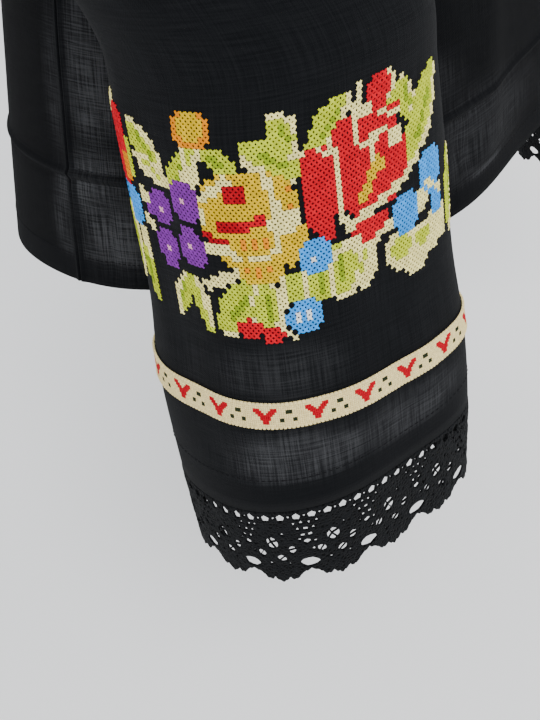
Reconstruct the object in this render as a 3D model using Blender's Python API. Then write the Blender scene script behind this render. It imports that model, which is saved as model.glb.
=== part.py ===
# A black folk blouse of thin gauze, worn out full, with round wide sleeves, a tape and lace at each cuff.
# Z is up, the front faces -Y and the origin is the middle of the shoulder line. Sizes are in millimetres.
import bpy
import numpy as np
from mathutils import Vector
from mathutils.geometry import delaunay_2d_cdt

METRES = 0.001
SEAM_GAP = 0.3

# Cloth thickness
CLOTH = 1.2
TURNED_UP_CLOTH = 1.9
TAPE_CLOTH = 1.0
LACE_CLOTH = 1.4
BINDING_CLOTH = 1.8

# Body
BODY_HEM_TURN_UP = 13.0
TURN_UP_STEP = 1.5
BODY_COLUMNS = 20
NECK_COLUMNS = 12
ARMHOLE_SPANS = 14
# A panel is cut level this many spans up its armholes, and the part above down the middle
PANEL_CUT_SPAN = 7
NECK_HALF_WIDTH = 80.0
NECK_CENTRE_Y = 6.0
NECK_SIDE_Z = -4.0
FRONT_NECK_REACH = 70.0
FRONT_NECK_DROP = 76.0
BACK_NECK_REACH = 52.0
BACK_NECK_DROP = 20.0
NECK_DROP_POWER = 2.0
FRONT_ROUNDNESS = 2.0
BACK_ROUNDNESS = 2.8
ARMHOLE_PULL = 2.6
BINDING_HEIGHT = 9.0
BINDING_LEAN = 0.55
BINDING_GAP = 0.36

# The body's level rings, from the hem up to the underarm. Rise tips the front up, and seam turns
# the side seams towards the back, both in degrees; folds is the share of each fold that is left there
BODY_RINGS = [
    dict(name="hem", z=-521.0, half_width=217.0, centre_y=16.0, front=166.0, back=176.0, rise=7.0,
         seam=7.0, folds=1.0),
    dict(name="hip", z=-430.0, half_width=204.0, centre_y=15.0, front=156.0, back=168.0, rise=4.0,
         seam=9.0, folds=0.7),
    dict(name="waist", z=-338.0, half_width=191.0, centre_y=13.0, front=144.0, back=158.0, rise=1.0,
         seam=9.0, folds=0.35),
    dict(name="ribs", z=-290.0, half_width=185.0, centre_y=10.0, front=136.0, back=149.0, rise=0.2,
         seam=5.0, folds=0.15),
    dict(name="underarm", z=-230.0, half_width=182.0, centre_y=4.0, front=126.0, back=138.0, rise=0.0,
         seam=0.0, folds=0.0),
]
BODY_ROW_HEIGHTS = [-475.0, -430.0, -385.0, -338.0, -290.0, -258.0, -230.0]

# Soft folds that grow towards the body's hem; turn is measured from the side seam, out is at the hem
FOLD_FADE_POWER = 0.5
BODY_FOLDS = [
    dict(name="behind the sleeve", front=True, turn=30.0, spread=20.0, out=-7.0),
    dict(name="front flute", front=True, turn=66.0, spread=13.0, out=7.0),
    dict(name="front middle", front=True, turn=90.0, spread=12.0, out=-4.0),
    dict(name="back side flute", front=False, turn=24.0, spread=13.0, out=4.0),
    dict(name="back dip", front=False, turn=50.0, spread=12.0, out=-6.0),
    dict(name="back flute", front=False, turn=74.0, spread=12.0, out=6.0),
]

# Sleeve
SLEEVE_COLUMNS = 2 * ARMHOLE_SPANS
TAPE_WIDTH = 13.4
SLEEVE_HEM_TURN_UP = 17.0

# Rings of the wearer's right sleeve. The deep way of a ring is turned from straight out to the side
# towards the front, and lifted from level; rise tips its front edge up; dish brings front and back in.
# Three and four are the shares by which three and four soft corners swell the ring
SLEEVE_RINGS = [
    dict(name="armhole", along=0.0, x=-180.0, y=4.0, z=-138.0, turn=0.0, lift=85.0, rise=0.0,
         half_wide=56.0, half_deep=92.0, dish=10.0, three=0.0, four=0.0),
    dict(name="cap", along=20.0, x=-206.5, y=-0.5, z=-154.5, turn=4.0, lift=76.7, rise=0.0,
         half_wide=59.0, half_deep=84.8, dish=8.0, three=0.0, four=0.0),
    dict(name="upper arm", along=44.0, x=-218.5, y=-10.0, z=-179.5, turn=10.0, lift=66.8, rise=0.0,
         half_wide=62.0, half_deep=73.4, dish=5.0, three=0.0, four=0.0),
    dict(name="below the cap", along=74.0, x=-227.5, y=-26.0, z=-214.0, turn=16.0, lift=50.9, rise=0.0,
         half_wide=66.0, half_deep=63.1, dish=2.0, three=0.0, four=0.0),
    dict(name="above the elbow", along=110.0, x=-231.0, y=-51.0, z=-258.5, turn=22.0, lift=31.4, rise=1.0,
         half_wide=69.5, half_deep=56.6, dish=0.0, three=0.0, four=0.0),
    dict(name="elbow", along=155.0, x=-224.0, y=-79.0, z=-303.0, turn=28.5, lift=10.5, rise=3.5,
         half_wide=72.0, half_deep=55.3, dish=0.0, three=0.01, four=0.0),
    dict(name="below the elbow", along=192.0, x=-217.0, y=-98.0, z=-338.0, turn=33.0, lift=0.0, rise=5.3,
         half_wide=72.9, half_deep=54.6, dish=0.0, three=0.02, four=0.01),
    dict(name="forearm", along=226.0, x=-218.7, y=-101.8, z=-371.5, turn=33.0, lift=0.0, rise=5.3,
         half_wide=72.9, half_deep=54.6, dish=0.0, three=0.03, four=0.02),
    dict(name="lower forearm", along=260.0, x=-220.5, y=-105.6, z=-405.0, turn=33.0, lift=0.0, rise=5.3,
         half_wide=73.0, half_deep=54.7, dish=0.0, three=0.038, four=0.028),
    dict(name="above the tape", along=325.0, x=-224.1, y=-113.0, z=-470.2, turn=33.0, lift=0.0, rise=5.3,
         half_wide=73.1, half_deep=54.8, dish=0.0, three=0.047, four=0.038),
    dict(name="tape", along=360.0, x=-226.0, y=-117.0, z=-505.0, turn=33.0, lift=0.0, rise=5.3,
         half_wide=76.1, half_deep=57.0, dish=0.0, three=0.047, four=0.038),
    dict(name="cloth hem", along=421.0, x=-229.3, y=-123.8, z=-564.7, turn=33.0, lift=4.7, rise=12.0,
         half_wide=77.2, half_deep=57.8, dish=0.0, three=0.062, four=0.028),
    dict(name="lace edge", along=467.0, x=-231.7, y=-128.9, z=-609.6, turn=33.0, lift=4.7, rise=12.0,
         half_wide=74.7, half_deep=55.9, dish=0.0, three=0.062, four=0.028),
]
THREE_TURN = -26.0
FOUR_TURN = 0.0
SLEEVE_ROW_PLACES = [0.0, 20.0, 44.0, 74.0, 110.0, 150.0, 192.0, 250.0, 320.0]

# Lace: one repeat is one scallop. Across is measured from the scallop's tip, down from the cloth hem
SCALLOPS_ROUND = 13
SCALLOPS_IN_FIRST_HALF = 7
LACE_TOP_DOWN = 0.3
LACE_TIP_DOWN = 50.0
LACE_VALLEY_DOWN = 41.0
LACE_SHIFT = -15.0
LACE_PATTERN_PITCH = 34.0
PETALS_PER_SCALLOP = 4
PETAL_DEPTH = 1.3
EDGE_STEPS = 8
LACE_HALF_GAP = 0.15
LACE_END_MARGIN = 1.0
LACE_FACING_STEP = 1.0
LACE_HOLES = [
    dict(name="eyelet row, far left", across=-12.75, down=4.0, wide=4.5, high=3.0, sides=6, turn=0.0),
    dict(name="eyelet row, left", across=-4.25, down=4.0, wide=4.5, high=3.0, sides=6, turn=0.0),
    dict(name="eyelet row, right", across=4.25, down=4.0, wide=4.5, high=3.0, sides=6, turn=0.0),
    dict(name="eyelet row, far right", across=12.75, down=4.0, wide=4.5, high=3.0, sides=6, turn=0.0),
    dict(name="above the flower", across=2.6, down=21.4, wide=7.2, high=8.6, sides=7, turn=12.0),
    dict(name="in the flower", across=-1.6, down=32.4, wide=5.6, high=4.9, sides=6, turn=20.0),
    dict(name="left of the flower", across=-8.2, down=26.6, wide=4.7, high=5.6, sides=6, turn=-20.0),
    dict(name="right of the flower", across=9.6, down=28.6, wide=4.7, high=5.2, sides=6, turn=25.0),
    dict(name="valley loop", across=17.0, down=36.6, wide=10.0, high=5.2, sides=7, turn=0.0),
]

# Colours
BLACK_GAUZE = (0.012, 0.013, 0.015)
BLACK_BODY = (0.016, 0.017, 0.019)
BLACK_BINDING = (0.010, 0.010, 0.011)
CREAM_TAPE = (0.72, 0.69, 0.38)
BLACK_LACE = (0.011, 0.012, 0.014)


def clear_scene():
    for thing in list(bpy.data.objects):
        bpy.data.objects.remove(thing, do_unlink=True)


def cloth_material(name, colour, roughness):
    material = bpy.data.materials.new(name)
    material.use_nodes = True
    shader = material.node_tree.nodes["Principled BSDF"]
    shader.inputs["Base Color"].default_value = (*colour, 1.0)
    shader.inputs["Roughness"].default_value = roughness
    return material


def unit(vectors):
    return vectors / np.linalg.norm(vectors, axis=-1, keepdims=True)


def smooth_curve(places, values, at):
    """A smooth curve through values, which may be numbers or arrays of points, read at one place."""
    places = np.asarray(places, float)
    values = np.asarray(values, float)
    slopes = np.gradient(values, places, axis=0)
    i = int(np.clip(np.searchsorted(places, at) - 1, 0, len(places) - 2))
    step = places[i + 1] - places[i]
    t = (at - places[i]) / step
    start = (2 * t**3 - 3 * t**2 + 1) * values[i] + (t**3 - 2 * t**2 + t) * step * slopes[i]
    end = (3 * t**2 - 2 * t**3) * values[i + 1] + (t**3 - t**2) * step * slopes[i + 1]
    return start + end


def sleeve_ring(ring, angles):
    """Points of one ring: angle 0 is the front end, 90 the outer side, 270 the side next to the body."""
    turn, lift, rise = np.radians([ring["turn"], ring["lift"], ring["rise"]])
    out = np.array([-np.cos(turn), -np.sin(turn), 0.0])
    up = np.array([0.0, 0.0, 1.0])
    front = np.array([np.sin(turn), -np.cos(turn), 0.0])
    wide = front * np.cos(rise) + up * np.sin(rise)
    deep = out * np.cos(lift) + up * np.sin(lift)
    three = ring["three"] * np.cos(3 * angles - np.radians(THREE_TURN))
    four = ring["four"] * np.cos(4 * angles - np.radians(FOUR_TURN))
    swell = (1 + three + four)[:, None]
    centre = np.array([ring["x"], ring["y"], ring["z"]])
    across = ring["half_wide"] * np.cos(angles)[:, None] * wide
    through = ring["half_deep"] * np.sin(angles)[:, None] * deep
    dished = ring["dish"] * np.cos(2 * angles)[:, None] * out
    return centre + swell * (across + through) - dished


def sleeve_points(angles, along):
    """Points round the wearer's right sleeve at one distance along it."""
    places = [ring["along"] for ring in SLEEVE_RINGS]
    rings = [sleeve_ring(ring, angles) for ring in SLEEVE_RINGS]
    return smooth_curve(places, rings, along)


def body_ring(front, z, turns):
    """Points of the front or back part of a ring; turns run from -90, right side seam, to 90, left."""
    heights = [ring["z"] for ring in BODY_RINGS]

    def at_height(column):
        return smooth_curve(heights, [ring[column] for ring in BODY_RINGS], z)

    reach_round = 1 + at_height("seam") / 90.0 if front else 1 - at_height("seam") / 90.0
    side = np.radians(turns * reach_round)
    forward = np.cos(side) if front else -np.cos(side)
    depth = np.where(forward >= 0, at_height("front"), at_height("back"))
    fold = np.zeros(len(turns))
    for one in BODY_FOLDS:
        if one["front"] == front:
            away = (90.0 - np.abs(turns) - one["turn"]) / one["spread"]
            fold += one["out"] * at_height("folds") * np.exp(-away**2)
    fold = fold * np.cos(np.radians(turns)).clip(0.0) ** FOLD_FADE_POWER
    x = (at_height("half_width") + fold) * np.sin(side)
    reach = -(depth + fold) * forward
    y = at_height("centre_y") + reach
    level = z - np.tan(np.radians(at_height("rise"))) * reach
    return np.stack([x, y, level], axis=-1)


def top_edge(front, columns):
    """The neckline and the two shoulder seams, for columns from -1 at one armhole to 1 at the other."""
    neck_share = NECK_COLUMNS / BODY_COLUMNS
    reach = -FRONT_NECK_REACH if front else BACK_NECK_REACH
    drop = FRONT_NECK_DROP if front else BACK_NECK_DROP
    shoulder = sleeve_ring(SLEEVE_RINGS[0], np.array([np.pi / 2]))[0]
    neck_side = np.array([-NECK_HALF_WIDTH, NECK_CENTRE_Y, NECK_SIDE_Z])
    points = []
    for column in columns:
        if abs(column) <= neck_share + 1e-9:
            turn = np.pi / 2 * column / neck_share
            dip = max(np.cos(turn), 0.0)
            x = NECK_HALF_WIDTH * np.sin(turn)
            point = np.array([x, NECK_CENTRE_Y + reach * dip, NECK_SIDE_Z - drop * dip**NECK_DROP_POWER])
        else:
            share = (abs(column) - neck_share) / (1 - neck_share)
            point = neck_side + share * (shoulder - neck_side)
            point[0] *= -np.sign(column)
        points.append(point)
    return np.array(points)


def armhole_edge(front, left):
    """The armhole's front or back half, from the underarm up to the shoulder."""
    share = np.linspace(0.0, 1.0, ARMHOLE_SPANS + 1)
    angles = np.radians(270.0 + (180.0 if front else -180.0) * share)
    points = sleeve_ring(SLEEVE_RINGS[0], angles)
    if left:
        points[:, 0] *= -1
    return points


def panel_grid(front):
    """Rows of points from the hem to the shoulders, each from the wearer's right to left."""
    columns = np.linspace(-1.0, 1.0, BODY_COLUMNS + 1)
    hem = BODY_RINGS[0]["z"]
    step_top = hem + BODY_HEM_TURN_UP
    heights = [hem, step_top - TURN_UP_STEP, step_top] + BODY_ROW_HEIGHTS
    rows = [body_ring(front, z, 90.0 * columns) for z in heights]
    thickness = [TURNED_UP_CLOTH, TURNED_UP_CLOTH] + [CLOTH] * (len(heights) - 2)
    bottom = rows[-1]
    top = top_edge(front, columns)
    right = armhole_edge(front, False)
    left = armhole_edge(front, True)
    roundness = FRONT_ROUNDNESS if front else BACK_ROUNDNESS
    pull = (np.abs(columns) ** ARMHOLE_PULL)[:, None]
    for row in range(1, ARMHOLE_SPANS + 1):
        share_up = row / ARMHOLE_SPANS
        risen = (share_up + np.sin(np.pi / 2 * share_up)) / 2
        shares = np.array([share_up, share_up**roundness, risen])
        points = bottom + (top - bottom) * shares
        from_right = right[row] - points[0]
        from_left = left[row] - points[-1]
        nearer = np.where((columns < 0)[:, None], from_right, from_left)
        rows.append(points + pull * nearer)
        thickness.append(CLOTH)
    grid = np.array(rows)
    grid[..., 1] += -SEAM_GAP / 2 if front else SEAM_GAP / 2
    return grid, np.array(thickness)


def grid_normals(grid, closed, outward):
    """Unit normals of a grid of points, along the rows and up the columns, turned to face outward."""
    if closed:
        along = np.roll(grid, -1, axis=1) - np.roll(grid, 1, axis=1)
    else:
        along = np.gradient(grid, axis=1)
    normals = unit(np.cross(along, np.gradient(grid, axis=0)))
    flip = np.sign(np.sum(normals * outward, axis=-1)).mean()
    return normals if flip > 0 else -normals


def make_object(name, points, faces, material):
    mesh = bpy.data.meshes.new(name)
    mesh.from_pydata([Vector(point) * METRES for point in points], [], faces)
    mesh.validate()
    mesh.materials.append(material)
    thing = bpy.data.objects.new(name, mesh)
    bpy.context.scene.collection.objects.link(thing)
    return thing


def wall_from_grids(name, outer, inner, closed, material):
    """A closed wall between two grids of points with the same rows and columns."""
    rows, columns = outer.shape[:2]
    points = np.concatenate([outer.reshape(-1, 3), inner.reshape(-1, 3)])
    inside = rows * columns
    spans = columns if closed else columns - 1
    faces = []

    def at(row, column):
        return row * columns + column % columns

    for row in range(rows - 1):
        for column in range(spans):
            a, b = at(row, column), at(row, column + 1)
            c, d = at(row + 1, column + 1), at(row + 1, column)
            first_way = np.linalg.norm(points[a] - points[c])
            other_way = np.linalg.norm(points[b] - points[d])
            halves = ((a, b, c), (a, c, d)) if first_way <= other_way else ((a, b, d), (b, c, d))
            for corners in halves:
                faces.append(corners)
                faces.append(tuple(inside + corner for corner in corners[::-1]))
    for column in range(spans):
        a, b = at(0, column), at(0, column + 1)
        c, d = at(rows - 1, column), at(rows - 1, column + 1)
        faces.append((b, a, inside + a, inside + b))
        faces.append((c, d, inside + d, inside + c))
    if not closed:
        for row in range(rows - 1):
            a, b = at(row, 0), at(row + 1, 0)
            c, d = at(row, columns - 1), at(row + 1, columns - 1)
            faces.append((a, b, inside + b, inside + a))
            faces.append((d, c, inside + c, inside + d))
    first, second, third = (points[index] for index in faces[0][:3])
    facing = np.cross(second - first, third - first)
    if np.dot(facing, outer[0, 0] - inner[0, 0]) < 0:
        faces = [face[::-1] for face in faces]
    return make_object(name, points, faces, material)


def make_panel(name, front, material):
    grid, thickness = panel_grid(front)
    middle = np.array([0.0, BODY_RINGS[0]["centre_y"], 0.0])
    normals = grid_normals(grid, False, (grid - middle) * [1, 1, 0])
    side_rows = len(grid) - ARMHOLE_SPANS
    for column in (0, -1):
        normals[:side_rows, column, 1] = 0.0
    neck_share = NECK_COLUMNS / BODY_COLUMNS
    shoulder = np.abs(np.linspace(-1.0, 1.0, BODY_COLUMNS + 1)) >= neck_share - 1e-9
    normals[-1, shoulder, 1] = 0.0
    normals = unit(normals)
    inner = grid - normals * thickness[:, None, None]
    cut_row = side_rows - 1 + PANEL_CUT_SPAN
    top_row = len(grid) - 1
    middle_column = BODY_COLUMNS // 2
    parts = {
        "lower": (0, cut_row, 0, BODY_COLUMNS),
        "upper_right": (cut_row, top_row, 0, middle_column),
        "upper_left": (cut_row, top_row, middle_column, BODY_COLUMNS),
    }
    for part, place in parts.items():
        outside, inside = cut_out(grid, *place), cut_out(inner, *place)
        wall_from_grids(name + "_" + part, outside, inside, False, material)


def cut_out(grid, low, high, first, last):
    """One part of a panel's points, drawn back by half a seam gap where it was cut."""
    part = grid[low:high + 1, first:last + 1].copy()
    if low > 0:
        part[0] += SEAM_GAP / 2 * unit(part[1] - part[0])
    if high < grid.shape[0] - 1:
        part[-1] += SEAM_GAP / 2 * unit(part[-2] - part[-1])
    if first > 0:
        part[:, 0] += SEAM_GAP / 2 * unit(part[:, 1] - part[:, 0])
    if last < grid.shape[1] - 1:
        part[:, -1] += SEAM_GAP / 2 * unit(part[:, -2] - part[:, -1])
    return part


def neck_loop():
    """The whole neckline, front then back, closed."""
    share = NECK_COLUMNS / BODY_COLUMNS
    columns = np.linspace(-share, share, NECK_COLUMNS + 1)
    front = top_edge(True, columns)
    back = top_edge(False, columns)[::-1]
    return np.concatenate([front, back[1:-1]])


def make_binding(name, material):
    loop = neck_loop()
    away = unit((loop - [0.0, NECK_CENTRE_Y, 0.0]) * [1, 1, 0])
    rise = unit(np.array([0.0, 0.0, 1.0]) - BINDING_LEAN * away)
    outward = unit(away + BINDING_LEAN * np.array([0.0, 0.0, 1.0]))
    low = loop + rise * BINDING_GAP
    high = low + rise * BINDING_HEIGHT
    outer = np.array([low, high])
    inner = outer - outward * BINDING_CLOTH
    return wall_from_grids(name, outer, inner, True, material)


def sleeve_grid(places):
    angles = 2 * np.pi * np.arange(SLEEVE_COLUMNS) / SLEEVE_COLUMNS
    return np.array([sleeve_points(angles, along) for along in places])


def sleeve_outward(grid):
    return grid - grid.mean(axis=1, keepdims=True)


def mirrored(points, left):
    return points * np.array([-1.0, 1.0, 1.0]) if left else points


def tape_places():
    middle = next(ring["along"] for ring in SLEEVE_RINGS if ring["name"] == "tape")
    return [middle - TAPE_WIDTH / 2, middle + TAPE_WIDTH / 2]


def make_sleeve(name, left, material):
    hem = next(ring["along"] for ring in SLEEVE_RINGS if ring["name"] == "cloth hem")
    turn_up = hem - SLEEVE_HEM_TURN_UP
    places = SLEEVE_ROW_PLACES + tape_places() + [turn_up - TURN_UP_STEP, turn_up, hem]
    grid = sleeve_grid(places)
    grid[0, :, 0] -= SEAM_GAP
    normals = grid_normals(grid, True, sleeve_outward(grid))
    normals[0, :, 0] = 0.0
    normals = unit(normals)
    thickness = np.array([CLOTH] * (len(places) - 2) + [TURNED_UP_CLOTH] * 2)
    inner = grid - normals * thickness[:, None, None]
    return wall_from_grids(name, mirrored(grid, left), mirrored(inner, left), True, material)


def make_tape(name, left, material):
    hem = next(ring["along"] for ring in SLEEVE_RINGS if ring["name"] == "cloth hem")
    places = [SLEEVE_ROW_PLACES[-1]] + tape_places() + [hem - SLEEVE_HEM_TURN_UP - TURN_UP_STEP]
    grid = sleeve_grid(places)
    normals = grid_normals(grid, True, sleeve_outward(grid))[1:-1]
    inner = grid[1:-1] + normals * SEAM_GAP
    outer = inner + normals * TAPE_CLOTH
    return wall_from_grids(name, mirrored(outer, left), mirrored(inner, left), True, material)


def around_table():
    """Distances round the cloth hem against the ring's own angle."""
    hem = next(ring for ring in SLEEVE_RINGS if ring["name"] == "cloth hem")
    angles = np.radians(np.arange(0.0, 361.0, 1.0))
    points = sleeve_ring(hem, angles)
    lengths = np.linalg.norm(np.diff(points, axis=0), axis=1)
    return np.concatenate([[0.0], np.cumsum(lengths)]), angles


def lace_surface(across, down):
    """A point of the lace, and which way it faces, from the flat pattern's across and down."""
    lengths, angles = around_table()
    hem = next(ring["along"] for ring in SLEEVE_RINGS if ring["name"] == "cloth hem")

    def point(around, below):
        angle = np.interp((around + LACE_SHIFT) % lengths[-1], lengths, angles)
        return sleeve_points(np.array([angle]), hem + below)[0]

    here = point(across, down)
    to_side = point(across + LACE_FACING_STEP, down) - here
    to_edge = point(across, down + LACE_FACING_STEP) - here
    facing = unit(np.cross(to_edge, to_side))
    return here, facing


def lace_edge(across, pitch):
    """How far down the scalloped edge lies, at a distance across from a scallop's tip."""
    share = abs(across) / (pitch / 2)
    fall = LACE_TIP_DOWN - (LACE_TIP_DOWN - LACE_VALLEY_DOWN) * share**2
    petal = PETAL_DEPTH * abs(np.cos(np.pi * PETALS_PER_SCALLOP * across / pitch))
    return fall - PETAL_DEPTH + petal * (1 - share)


def hole_outline(hole, pitch, start):
    """A rounded many-sided hole of the lace, in the flat pattern."""
    turns = 2 * np.pi * (np.arange(hole["sides"]) + 0.5) / hole["sides"]
    x = hole["wide"] / 2 * np.cos(turns)
    y = hole["high"] / 2 * np.sin(turns)
    tip = np.radians(hole["turn"])
    across = start + hole["across"] * pitch / LACE_PATTERN_PITCH + x * np.cos(tip) - y * np.sin(tip)
    down = hole["down"] + x * np.sin(tip) + y * np.cos(tip)
    return [(float(a), float(d)) for a, d in zip(across, down)]


def inside_outline(point, outline):
    """Whether a flat point lies within an outline."""
    x, y = point
    within = False
    for (ax, ay), (bx, by) in zip(outline, outline[1:] + outline[:1]):
        if (ay > y) != (by > y) and x < (bx - ax) * (y - ay) / (by - ay) + ax:
            within = not within
    return within


def flat_lace(first, last, pitch):
    """The flat pattern of some whole scallops: its points, triangles and open outlines."""
    start = first * pitch + LACE_HALF_GAP
    end = last * pitch - LACE_HALF_GAP
    steps = (last - first) * EDGE_STEPS
    bottom = []
    for step in range(steps + 1):
        across = start + (end - start) * step / steps
        from_tip = (across / pitch - np.floor(across / pitch) - 0.5) * pitch
        if step in (0, steps):
            from_tip = pitch / 2
        bottom.append((across, lace_edge(from_tip, pitch)))
    top = [(start + (end - start) * step / (steps // 2), LACE_TOP_DOWN) for step in range(steps // 2 + 1)]
    border = top + bottom[::-1]
    holes = []
    for scallop in range(first, last):
        tip = (scallop + 0.5) * pitch
        for hole in LACE_HOLES:
            outline = hole_outline(hole, pitch, tip)
            spans = [across for across, down in outline]
            if min(spans) > start + LACE_END_MARGIN and max(spans) < end - LACE_END_MARGIN:
                holes.append(outline)
    outlines = [border] + holes
    points, edges = [], []
    for outline in outlines:
        base = len(points)
        points += [Vector(point) for point in outline]
        edges += [(base + i, base + (i + 1) % len(outline)) for i in range(len(outline))]
    flat, _, triangles, _, _, _ = delaunay_2d_cdt(points, edges, [], 1, 1e-5)
    kept = []
    for triangle in triangles:
        middle = sum((flat[i] for i in triangle), Vector((0.0, 0.0))) / 3
        if inside_outline(middle, border) and not any(inside_outline(middle, hole) for hole in holes):
            kept.append(tuple(triangle))
    return flat, kept


def make_lace(name, first, last, left, material):
    pitch = around_table()[0][-1] / SCALLOPS_ROUND
    flat, triangles = flat_lace(first, last, pitch)
    outer, inner = [], []
    for across, down in flat:
        here, facing = lace_surface(across, down)
        outer.append(here)
        inner.append(here - facing * LACE_CLOTH)
    points = mirrored(np.array(outer + inner), left)
    count = len(flat)
    sides = {}
    for a, b, c in triangles:
        for one, two in ((a, b), (b, c), (c, a)):
            sides[(one, two)] = True
    faces = [tuple(triangle) for triangle in triangles]
    faces += [(count + c, count + b, count + a) for a, b, c in triangles]
    faces += [(two, one, count + one, count + two) for one, two in sides if (two, one) not in sides]
    a, b, c = triangles[0]
    facing = np.cross(points[b] - points[a], points[c] - points[a])
    if np.dot(facing, points[a] - points[count + a]) < 0:
        faces = [face[::-1] for face in faces]
    return make_object(name, points, faces, material)


def main():
    clear_scene()
    body = cloth_material("body gauze", BLACK_BODY, 0.85)
    back = cloth_material("back gauze", BLACK_BODY, 0.85)
    binding = cloth_material("neck binding", BLACK_BINDING, 0.8)
    make_panel("front", True, body)
    make_panel("back", False, back)
    make_binding("neck_binding", binding)
    for side, left in (("right", False), ("left", True)):
        gauze = cloth_material("sleeve gauze " + side, BLACK_GAUZE, 0.85)
        tape = cloth_material("tape " + side, CREAM_TAPE, 0.75)
        lace = cloth_material("lace " + side, BLACK_LACE, 0.8)
        make_sleeve("sleeve_" + side, left, gauze)
        make_tape("tape_" + side, left, tape)
        make_lace("lace_" + side + "_outer", 0, SCALLOPS_IN_FIRST_HALF, left, lace)
        make_lace("lace_" + side + "_inner", SCALLOPS_IN_FIRST_HALF, SCALLOPS_ROUND, left, lace)


main()
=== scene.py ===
import bmesh
import bpy
import numpy as np
from mathutils import Matrix, Vector
from mathutils.geometry import delaunay_2d_cdt


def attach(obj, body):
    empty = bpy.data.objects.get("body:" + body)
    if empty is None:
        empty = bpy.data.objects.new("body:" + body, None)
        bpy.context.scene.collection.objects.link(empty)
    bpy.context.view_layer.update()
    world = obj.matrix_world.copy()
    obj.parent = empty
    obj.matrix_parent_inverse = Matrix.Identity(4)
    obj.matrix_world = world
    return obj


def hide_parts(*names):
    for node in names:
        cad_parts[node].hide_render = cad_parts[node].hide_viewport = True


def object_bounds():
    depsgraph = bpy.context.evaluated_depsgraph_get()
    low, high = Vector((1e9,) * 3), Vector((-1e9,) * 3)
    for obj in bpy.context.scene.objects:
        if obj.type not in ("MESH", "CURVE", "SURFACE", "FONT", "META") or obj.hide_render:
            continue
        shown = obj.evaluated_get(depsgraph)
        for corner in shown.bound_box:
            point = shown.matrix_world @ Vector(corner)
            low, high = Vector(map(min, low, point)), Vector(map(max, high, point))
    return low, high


# Black gauze blouse with cross-stitched sleeves, filled out as if worn. Tables are in millimetres,
# meshes in metres. Z is up, the front faces -Y and the origin is the middle of the shoulder line.

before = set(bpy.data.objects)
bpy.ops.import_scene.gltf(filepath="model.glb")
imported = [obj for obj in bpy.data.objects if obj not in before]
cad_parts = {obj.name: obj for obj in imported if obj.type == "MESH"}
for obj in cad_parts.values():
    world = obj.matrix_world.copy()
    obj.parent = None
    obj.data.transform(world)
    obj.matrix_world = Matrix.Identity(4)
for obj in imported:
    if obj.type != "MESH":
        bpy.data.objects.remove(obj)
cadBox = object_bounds()
mm = 0.001
print("frame loaded")

# Camera, floor and light

view = dict(place=(-0.6476, -0.3700, -0.1354), azimuth=-57.0, pitch=38.0, roll=4.0, lens=80.0, sensor=36.0,
            nearest=0.01)

def placeCamera(view):
    turn, pitch, roll = np.radians([view["azimuth"], view["pitch"], view["roll"]])
    ahead = np.array([-np.sin(turn) * np.cos(pitch), np.cos(turn) * np.cos(pitch), -np.sin(pitch)])
    level = np.array([np.cos(turn), np.sin(turn), 0.0])
    upright = np.cross(level, ahead)
    right = level * np.cos(roll) - upright * np.sin(roll)
    top = level * np.sin(roll) + upright * np.cos(roll)
    data = bpy.data.cameras.new("camera")
    data.sensor_fit = "HORIZONTAL"
    data.sensor_width = view["sensor"]
    data.lens = view["lens"]
    data.clip_start = view["nearest"]
    camera = bpy.data.objects.new("camera", data)
    bpy.context.scene.collection.objects.link(camera)
    turned = Matrix([[right[i], top[i], -ahead[i]] for i in range(3)]).to_4x4()
    camera.matrix_world = Matrix.Translation(view["place"]) @ turned
    bpy.context.scene.camera = camera

studio = dict(
    floorDrop=0.24, floorHalf=6.0, floorColour=(0.97, 0.97, 0.97), floorRoughness=0.9,
    sky=(0.95, 0.97, 1.0), skyPower=1.2,
    lamps=(dict(name="key", place=(-1.7, -1.6, 1.5), power=58.0, size=1.3, aim=(-0.15, -0.05, -0.4)),
           dict(name="fill", place=(1.4, -1.5, 0.9), power=20.0, size=1.8, aim=(0.0, 0.0, -0.35))),
)

def lamp(name, place, power, size, aim):
    data = bpy.data.lights.new(name, "AREA")
    data.energy = power
    data.size = size
    lampObject = bpy.data.objects.new(name, data)
    bpy.context.scene.collection.objects.link(lampObject)
    lampObject.location = place
    lampObject.rotation_euler = (Vector(aim) - Vector(place)).to_track_quat("-Z", "Y").to_euler()

def setStudio(studio):
    low = cadBox[0][2] - studio["floorDrop"]
    half = studio["floorHalf"]
    mesh = bpy.data.meshes.new("floor")
    corners = [(-half, -half, low), (half, -half, low), (half, half, low), (-half, half, low)]
    mesh.from_pydata(corners, [], [(0, 1, 2, 3)])
    floor = bpy.data.objects.new("floor", mesh)
    bpy.context.scene.collection.objects.link(floor)
    paper = bpy.data.materials.new("white paper floor")
    paper.use_nodes = True
    shader = paper.node_tree.nodes["Principled BSDF"]
    shader.inputs["Base Color"].default_value = (*studio["floorColour"], 1.0)
    shader.inputs["Roughness"].default_value = studio["floorRoughness"]
    mesh.materials.append(paper)
    world = bpy.data.worlds.new("soft sky")
    bpy.context.scene.world = world
    world.use_nodes = True
    sky = world.node_tree.nodes["Background"]
    sky.inputs["Color"].default_value = (*studio["sky"], 1.0)
    sky.inputs["Strength"].default_value = studio["skyPower"]
    for one in studio["lamps"]:
        lamp(**one)

placeCamera(view)
setStudio(studio)
print("camera, floor and light set")

# Small helpers

# one dictionary a row; a row may leave its last columns out
def table(columns, *rows):
    return [dict(zip(columns.split(), row)) for row in rows]

def unitRows(vectors):
    return vectors / np.maximum(np.linalg.norm(vectors, axis=-1, keepdims=True), 1e-12)

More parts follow.
